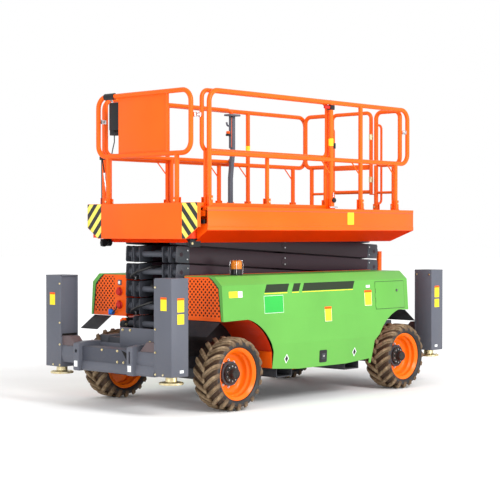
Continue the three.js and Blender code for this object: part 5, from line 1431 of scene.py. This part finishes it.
# %% [markdown]
# ## The deck's tray
#
# The sides are thin blocks for the lip, the band and its lower fold, and inclined sheets for
# the skirt. Thin closed parts are easier to place than one large folded sheet, and the steps
# between them catch the light as real folds do. Five ribs run across under the floor.
# %% Deck tray
TREAD, STRIPES = tread_plate(), stripes()
SKIRT_RED = painted("skirt_orange_red", (0.98, 0.050, 0.001), rough=0.6, dust=0.0, wear=0.0,
                    coat=0.0, shine=0.03)
X0, X1 = -1.587, 1.46535
deck = Piece("deck_tray")
for where in BOTH_SIDES:
    deck.add(block((X0, 0.744, 1.6105), (X1, 0.750, 1.790), 0.0015), ORANGE, where)
    deck.add(block((X0, 0.738, 1.790), (X1, 0.7525, 1.8205), 0.003), ORANGE, where)
    deck.add(block((X0, 0.668, 1.8125), (X1, 0.745, 1.8203), 0.001), ORANGE, where)
    # A thin grey strip under the lip: a painted shadow line.
    deck.add(block((X0 + 0.004, 0.745, 1.7870), (X1 - 0.004, 0.7508, 1.7900), 0), GUSSET_AND_SHADOW_LINE_GREY, where)
    deck.add(block((X0, 0.746, 1.6120), (X1, 0.7530, 1.6470), 0.002), ORANGE, where)
    skirt = [(X1, 0.750, 1.6105), (X0, 0.750, 1.6105), (X0 + 0.17, 0.580, 1.5005), (X1, 0.580, 1.5005)]
    deck.add(panel(skirt), SKIRT_RED, where)
    ear = [(0.750, 1.812), (0.750, 1.6105), (0.628, 1.5316), (0.616, 1.542), (0.616, 1.690), (0.700, 1.812)]
    window = block((1.40, 0.672, 1.735), (1.50, 0.726, 1.785), 0)
    deck.add(carved(plate(ear, "x", 1.4600, X1, 0), window), ORANGE, where)
    # A red-orange block behind the window stands for the shaded inside of the open tube end: painted shade.
    deck.add(block((1.435, 0.668, 1.731), (1.4605, 0.730, 1.789), 0), SKIRT_RED, where)
    deck.add(block((1.455, 0.668, 1.668), (1.480, 0.722, 1.706), 0.003), BLACK, where)
    eye = rod((-1.45, 0.20, 1.5545), (-1.45, 0.30, 1.5545), 0.0285, 28)
    hanger = plate([(-1.510, 1.785), (-1.390, 1.785), (-1.390, 1.5545),
                    *arc(-1.45, 1.5545, 0.058, 0, -180, 10)], "y", 0.250, 0.280, 0)
    deck.add(carved(hanger, eye), ORANGE, where)
    # The tracks under the deck are the darker orange, partly painted shade.
    deck.add(block((0.240, 0.3765, 1.5975), (1.459, 0.385, 1.7865), 0.001), SHADED_ORANGE, where)
    for low in (1.5030, 1.5975):
        deck.add(block((0.240, 0.345, low), (1.459, 0.385, low + 0.0085), 0.001), SHADED_ORANGE, where)
    deck.add(block((1.400, 0.594, 1.4625), (1.530, 0.602, 1.5305), 0.002), BLACK, where)
    deck.add(rod((1.508, 0.562, 1.4945), (1.508, 0.594, 1.4945), 0.037, 28, 0.005), BLACK, where)
    deck.add(rod((1.508, 0.602, 1.4945), (1.508, 0.609, 1.4945), 0.012, 6), ZINC, where)
    deck.add(rod((1.440, 0.562, 1.4945), (1.440, 0.594, 1.4945), 0.030, 24, 0.004), BLACK, where)
    for x in (-0.2997, 1.38035):
        deck.add(block((x, 0.505, 1.7885), (x + 0.07, 0.565, 1.8010), 0.002), BLACK, where)
    label(deck, (-0.548, 0.7503, 1.7280), (0, 1, 0), (-1, 0, 0), 0.098, 0.118, where=where)
deck.add(block((X0, -0.748, 1.6105), (X0 + 0.005, 0.748, 1.8205), 0.001), ORANGE)
deck.add(panel([(X0, 0.750, 1.6105), (X0, -0.750, 1.6105), (X0 + 0.17, -0.580, 1.5005),
                (X0 + 0.17, 0.580, 1.5005)]), SKIRT_RED)
deck.add(block((X0 + 0.004, -0.745, 1.7845), (X1 - 0.003, 0.745, 1.7905), 0), TREAD)
deck.add(block((X1 - 0.006, -0.745, 1.6690), (X1, 0.745, 1.7900), 0.001), ORANGE)
# Five ribs under the floor in the darker orange, partly painted shade.
for x in [X0 + k * (X1 - X0) / 6 for k in range(1, 6)]:
    deck.add(block((x - 0.005, -0.745, 1.6905), (x + 0.005, 0.745, 1.7865), 0.001), SHADED_ORANGE)
deck.finish("platform", "orange", "deck_frame")

# %% [markdown]
# ## Extension deck
#
# The front part of the platform rolls out over the main deck on two beams. Its front panel
# carries the warning stripes. They are a pattern in the material, computed from the position:
# the distance from the middle plane plus the height gives lines that lean down towards both
# ends, and the fraction of that sum over the stripes' pitch turns them on and off. Low toe
# boards run along both sides of its floor.
# %% Extension deck
front_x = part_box("extension_deck")[1][0]
ext = Piece("rollout_deck")
shape = [(0.736, 1.8575), (-0.736, 1.8575), (-0.736, 1.6355), (-0.587, 1.5335), (0.587, 1.5335),
         (0.736, 1.6355)]
ext.add(plate(filleted(shape, 0.010, 3, True), "x", front_x - 0.006, front_x, 0.0015), ORANGE)
ext.add(block((front_x - 0.045, -0.734, 1.8515), (front_x - 0.002, 0.734, 1.8573), 0.002), ORANGE)
ext.add(block((front_x - 0.040, -0.585, 1.5340), (front_x - 0.002, 0.585, 1.5400), 0.002), ORANGE)
for where in BOTH_SIDES:
    strip = [(0.540, 1.8545), (0.733, 1.8545), (0.733, 1.6370), (0.588, 1.5370), (0.540, 1.5370)]
    ext.add(plate(strip, "x", front_x - 0.001, front_x + 0.0008, 0), STRIPES, where)
    ext.add(block((front_x - 0.040, 0.730, 1.6400), (front_x - 0.003, 0.735, 1.8540), 0.001), ORANGE, where)
rear_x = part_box("extension_deck")[0][0]
ext.add(block((rear_x, -0.655, 1.8025), (front_x - 0.006, 0.655, 1.8075), 0.001), TREAD)
ext.add(block((rear_x, -0.655, 1.8010), (rear_x + 0.030, 0.655, 1.8030), 0), ORANGE)
# The darker orange under the extension's floor, here and on its beams, is partly painted shade.
ext.add(block((front_x - 0.040, -0.660, 1.5420), (front_x - 0.006, 0.660, 1.8025), 0.001), SHADED_ORANGE)
ext.add(panel([(front_x - 0.006, -0.400, 1.5360), (front_x - 0.006, 0.587, 1.5360),
               (front_x - 0.034, 0.587, 1.5000), (front_x - 0.034, -0.400, 1.5000)]), SKIRT_RED)
for where in BOTH_SIDES:
    ext.add(block((-0.600, 0.550, 1.5375), (front_x - 0.006, 0.610, 1.6605), 0.004), SHADED_ORANGE, where)
    ext.add(block((-0.315, 0.6620, 1.8078), (front_x - 0.006, 0.6675, 1.8570), 0.001), ORANGE, where)
ext.finish("extension", "orange", "extension_deck")

# %% [markdown]
# ## Guard rails
#
# The rails are bent tube loops on posts, each post in a small hinged foot so that the rails
# can fold. Steel links lock neighbouring loops together. The thin 45 degree stays, the feet and
# the yellow tags are small, but they set the scale of the whole platform.
# %% Rail fittings
RAIL_TOP, RAIL_MID, TUBE_R, THIN_R = 2.8575, 2.3005, 0.0225, 0.020
SIDE_LIP, REAR_FLOOR = 1.8208, 1.7908


def hinged_foot(piece, x, y, z, where=Matrix(), turn=0):
    seat = where @ Matrix.Translation((x, y, z)) @ Matrix.Rotation(turn, 4, "Z")
    piece.add(block((-0.034, -0.026, 0.0), (0.034, 0.026, 0.008), 0.002), ORANGE, seat)
    for side in (-0.0270, 0.0235):
        piece.add(block((-0.022, side, 0.006), (0.028, side + 0.0035, 0.100), 0.001), ORANGE, seat)
    piece.add(rod((0.0, -0.031, 0.070), (0.0, 0.031, 0.070), 0.007, 12), ZINC, seat)
    piece.add(rod((0.0, 0.030, 0.070), (0.0, 0.036, 0.070), 0.011, 6), ZINC, seat)
    piece.add(rod((0.0, -0.036, 0.070), (0.0, -0.030, 0.070), 0.011, 6), ZINC, seat)


def post(piece, x, y, low, high, radius=TUBE_R, foot=True, turn=0):
    piece.add(rod((x, y, low + 0.004), (x, y, high), radius, 20), ORANGE)
    if foot:
        hinged_foot(piece, x, y, low, turn=turn)


def tag(piece, x, y, z, height=0.070):
    piece.add(rod((x, y, z), (x, y, z + height), TUBE_R + 0.0012, 24), YELLOW)


def stay(piece, x, y):
    piece.add(rod((x, y, RAIL_MID - 0.15), (x + 0.15, y, RAIL_MID - 0.004), 0.0065, 10), ORANGE)


print("rail fittings ready")

# %% [markdown]
# ## Side rails
#
# Each long rail is one bent loop, on posts that reach its top tube and shorter ones that end
# at the middle tube. The posts' places differ from left to right, so they are listed with
# each rail. The left rail also has a latch near the top of a post and a knob and a steel foot
# at its base.
# %% Side rails
for name, sign, posts, short in (("left", 1, (-0.301, -0.765), (-1.344,)),
                                 ("right", -1, (-0.618, 0.560), (-0.177, -1.344))):
    y = sign * 0.700
    rail = Piece(f"{name}_guard_rail")
    loop = [(1.39135, y, 1.825), (1.39135, y, RAIL_TOP), (-1.549, y, RAIL_TOP), (-1.549, y, RAIL_MID),
            (1.392, y, RAIL_MID)]
    rail.add(tube(loop, TUBE_R, 0.105, 20, 8), ORANGE)
    hinged_foot(rail, 1.39135, y, SIDE_LIP)
    for x in posts:
        post(rail, x, y, SIDE_LIP, RAIL_TOP)
    for x in short:
        post(rail, x, y, SIDE_LIP, RAIL_MID)
    for x in (*posts, *short):
        stay(rail, x, y)
    tag(rail, posts[0], y, 2.435)
    x = posts[0]
    if sign > 0:
        rail.add(block((x - 0.028, y - 0.028, 2.785), (x + 0.026, y + 0.028, 2.832), 0.006), LATCH_BLACK)
        rail.add(block((x + 0.024, y - 0.014, 2.794), (x + 0.098, y + 0.014, 2.824), 0.006), RED)
        rail.add(block((x - 0.006, y - 0.012, 2.832), (x + 0.030, y + 0.012, 2.880), 0.005), LATCH_BLACK)
        knob = Vector((x + 0.002, y + 0.034, 1.905))
        rail.add(rod(knob, knob + Vector((0, 0.020, 0)), 0.026, 8, 0.006), LATCH_BLACK)
        rail.add(rod(knob + Vector((0, 0, 0.03)), knob + Vector((0, 0, 0.075)), 0.006, 10, 0.001), STEEL)
        rail.add(block((x - 0.060, y + 0.020, 1.829), (x + 0.050, y + 0.040, 1.845), 0.003), STEEL)
    rail.finish("platform", "orange", f"{name}_rail")

# %% [markdown]
# ## Rear rails and gate
#
# Two narrow loops flank the entry, and one function makes both, each with a grab handle
# behind it. The gate is a thinner loop with hinge barrels on one side and a latch on the
# other, and it swings on a body of its own.
# %% Rear rails and gate
def link_plate(piece, a, b):
    """A steel link with a clamp at either end, joining two loops."""
    piece.add(rod(a, b, 0.009, 12, 0.001), STEEL)
    reach = Vector((0.016, 0.016, 0.020))
    for end in (Vector(a), Vector(b)):
        piece.add(block(end - reach, end + reach, 0.004), STEEL)


X_REAR = -1.500


def rear_loop(name, near, far, posts, grab):
    """A loop from y = near to far on its posts, with a low tie between them and a grab handle."""
    loop = Piece(f"{name}_guard_rail")
    loop.add(tube([(X_REAR, near, RAIL_MID), (X_REAR, near, RAIL_TOP), (X_REAR, far, RAIL_TOP),
                   (X_REAR, far, RAIL_MID)], TUBE_R, 0.07, 20, 7, True), ORANGE)
    for y in posts:
        post(loop, X_REAR, y, REAR_FLOOR, RAIL_MID, turn=math.pi / 2)
    loop.add(rod((X_REAR, posts[0], 2.0105), (X_REAR, posts[1], 2.0105), 0.014, 16), ORANGE)
    handle = X_REAR - 0.090
    loop.add(tube([(X_REAR, grab, 2.725), (handle, grab, 2.725), (handle, grab, 1.900),
                   (X_REAR, grab, 1.900)], 0.0125, 0.04, 14, 6), ORANGE)
    return loop


rear = rear_loop("rear_left", 0.330, 0.640, (0.330, 0.560), 0.330)
rear.add(block((X_REAR - 0.014, 0.250, 1.9885), (X_REAR + 0.014, 0.332, 2.0000), 0.002), ORANGE)
link_plate(rear, (X_REAR - 0.020, 0.672, 2.630), (X_REAR - 0.035, 0.690, 2.630))
rear.finish("platform", "orange", "rear_left_rail")
rear = rear_loop("rear_right", -0.650, -0.320, (-0.560, -0.320), -0.320)
rear.finish("platform", "orange", "rear_right_rail")

gate = Piece("swing_gate")
gate.add(tube([(X_REAR, 0.262, 2.0005), (X_REAR, 0.262, RAIL_TOP), (X_REAR, -0.268, RAIL_TOP),
               (X_REAR, -0.268, 2.0205), (X_REAR, 0.262, 2.0205)], THIN_R, 0.06, 18, 7), ORANGE)
gate.add(block((X_REAR - 0.004, -0.266, 2.2555), (X_REAR + 0.004, 0.260, 2.3105), 0.002), ORANGE)
for z in (2.15, 2.60):
    gate.add(rod((X_REAR, 0.262, z - 0.03), (X_REAR, 0.262, z + 0.03), 0.0235, 18, 0.002), ZINC)
gate.add(block((X_REAR - 0.020, -0.262, 2.500), (X_REAR + 0.020, -0.235, 2.560), 0.004), LATCH_BLACK)
gate.finish("gate", "orange", "entry_gate")

# %% [markdown]
# ## Rails of the extension
#
# The extension carries its own pair of side rails, just inside the main ones. Each is a bent
# loop that ends at the middle tube, with posts below it down to the extension's floor.
# %% Extension rails
FLOOR = 1.8078
MID = 2.3225
for name, sign in SIDES.items():
    y = sign * 0.640
    rail = Piece(f"extension_{name}_guard_rail")
    rail.add(tube([(1.42335, y, MID), (1.42335, y, RAIL_TOP), (-0.30965, y, RAIL_TOP), (-0.30965, y, MID)],
                  THIN_R, 0.07, 18, 7, True), ORANGE)
    for x, top in ((1.3765, 2.328), (0.560, MID), (-0.291, 2.346)):
        post(rail, x, y, FLOOR, top, THIN_R)
    link_plate(rail, (1.445, y, 2.635), (1.500, y - sign * 0.012, 2.635))
    rail.finish("extension", "orange", f"extension_{name}_rail")

# %% [markdown]
# ## Front rail
#
# The front rail is a loop across the extension's end, with a thin orange panel in its middle.
# A black rubber sleeve saves the top tube from the control box that hangs on it, and a slim
# gas strut stands by the far post.
# %% Front rail
X_FRONT = 1.53735
front_rail = Piece("front_guard_rail")
front_rail.add(tube([(X_FRONT, -0.618, RAIL_MID), (X_FRONT, -0.618, RAIL_TOP), (X_FRONT, 0.618, RAIL_TOP),
                     (X_FRONT, 0.618, RAIL_MID)], TUBE_R, 0.105, 20, 8, True), ORANGE)
for y in (-0.480, 0.440):
    post(front_rail, X_FRONT, y, FLOOR, RAIL_MID, turn=math.pi / 2)
front_rail.add(rod((X_FRONT, 0.3200, RAIL_MID), (X_FRONT, 0.3200, RAIL_TOP), 0.0140, 16), ORANGE)
front_rail.add(block((X_FRONT - 0.003, -0.330, RAIL_MID), (X_FRONT + 0.003, 0.318, RAIL_TOP), 0.001), ORANGE)
front_rail.add(block((X_FRONT - 0.018, -0.334, RAIL_MID), (X_FRONT + 0.003, -0.330, RAIL_TOP), 0.001), ORANGE)
front_rail.add(rod((X_FRONT, -0.520, RAIL_TOP), (X_FRONT, -0.385, RAIL_TOP), 0.031, 24, 0.003), LATCH_BLACK)
strut = [Vector((X_FRONT - 0.010, -0.575, 2.285)), Vector((X_FRONT - 0.010, -0.505, 1.950))]
front_rail.add(rod(strut[0], strut[0].lerp(strut[1], 0.45), 0.006, 12), BLACK)
front_rail.add(rod(strut[0].lerp(strut[1], 0.40), strut[0].lerp(strut[1], 0.92), 0.0125, 16, 0.002), STEEL)
front_rail.add(rod(strut[0].lerp(strut[1], 0.90), strut[1], 0.006, 12), BLACK)
front_rail.add(block(strut[0] - Vector((0.02, 0.02, 0.012)), strut[0] + Vector((0.02, 0.02, 0.022)), 0.004),
               LATCH_BLACK)
front_rail.add(rod((X_FRONT - 0.01, -0.585, 2.280), (X_FRONT - 0.01, -0.585, 1.815), 0.0045, 10), LATCH_BLACK)
front_rail.finish("extension", "orange", "front_rail")

# %% [markdown]
# ## Controls
#
# The operator's box hangs on the front rail, its back to the panel: a black case with a
# joystick, a row of switches and a red stop button. Its cable drops to the rail's lower tube.
# Further back stands a bent grey post with a tray, on which the box can be
# put down.
# %% Control box
box = Piece("control_case")
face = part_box("control_box")[1][0]
box.add(block((face - 0.090, -0.500, 2.545), (face - 0.002, -0.335, 2.805), 0.010), LATCH_BLACK)
box.add(block((face - 0.120, -0.492, 2.560), (face - 0.086, -0.343, 2.700), 0.008), GUARD_GREY)
for y in (-0.480, -0.355):
    box.add(tube([(face - 0.030, y, 2.790), (face - 0.030, y, 2.828), (face - 0.004, y, 2.828)], 0.007, 0.012,
                 10, 4), STEEL)
stick = Vector((face - 0.118, -0.455, 2.640))
box.add(turned([(0.0, 0.0), (0.024, 0.0), (0.020, 0.012), (0.010, 0.022), (0.008, 0.050), (0.014, 0.060),
                (0.015, 0.085), (0.009, 0.096), (0.0, 0.098)], stick, (-0.8, 0, 0.6), 20), LATCH_BLACK)
box.add(rod((face - 0.119, -0.375, 2.660), (face - 0.140, -0.375, 2.660), 0.016, 24, 0.003), RED)
for k, y in enumerate(spread(-0.420, -0.360, 4)):
    box.add(rod((face - 0.119, y, 2.595), (face - 0.128, y, 2.595), 0.006, 12, 0.001), STEEL)
label(box, (face - 0.1202, -0.4175, 2.625), (-1, 0, 0), (0, -1, 0), 0.130, 0.016, ground=YELLOW)
box.add(block((face - 0.085, -0.500, 2.500), (face - 0.010, -0.440, 2.551), 0.006), LATCH_BLACK)
cable = [(face - 0.045, -0.470, 2.505), (face - 0.045, -0.470, 2.440), (face - 0.020, -0.462, 2.380),
         (face - 0.008, -0.466, 2.320)]
box.add(tube(cable, 0.005, 0.02, 10, 4), HOSE)
box.finish("extension", "black", "control_box")

# %% [markdown]
# ## Control stand
#
# The stand is one bent outline extruded to the width of its post, with a tray on top. An
# extruded outline gives the bends in one step.
# %% Control stand
stand = Piece("control_stand_post")
sx, sy = -0.21865, -0.575
stand.add(block((sx - 0.036, sy - 0.026, 1.8078), (sx + 0.036, sy + 0.026, 1.816), 0.002), GREY)
bend_line = [(sx - 0.022, 1.8100), (sx - 0.022, 2.1500), (sx - 0.055, 2.4300), (sx - 0.055, 2.8000),
             (sx - 0.012, 2.8000), (sx - 0.012, 2.4350), (sx + 0.021, 2.1550), (sx + 0.021, 1.8100)]
stand.add(plate(filleted(bend_line, 0.03, 4, True), "y", sy - 0.018, sy + 0.018, 0.003), GREY)
stand.add(block((sx - 0.002, sy - 0.014, 2.4600), (sx + 0.010, sy + 0.014, 2.7900), 0.002), GREY)
stand.add(block((sx - 0.010, sy - 0.012, 2.4700), (sx - 0.002, sy + 0.012, 2.7800), 0.001), ORANGE)
stand.add(block((sx - 0.090, sy - 0.035, 2.7905), (sx + 0.060, sy + 0.060, 2.8095), 0.004), GREY)
stand.add(tube([(sx, sy, 2.690), (sx + 0.045, sy, 2.690), (sx + 0.058, sy, 2.725)], 0.010, 0.02, 12, 4), GREY)
stand.add(block((sx + 0.014, sy - 0.020, 2.585), (sx + 0.052, sy + 0.020, 2.608), 0.004), LATCH_BLACK)
stand.add(block((sx + 0.020, sy - 0.016, 2.608), (sx + 0.050, sy + 0.016, 2.636), 0.005), ORANGE)
stand.add(rod((sx, sy + 0.018, 1.860), (sx, sy + 0.026, 1.860), 0.010, 6), ZINC)
stand.finish("extension", "grey", "control_stand")
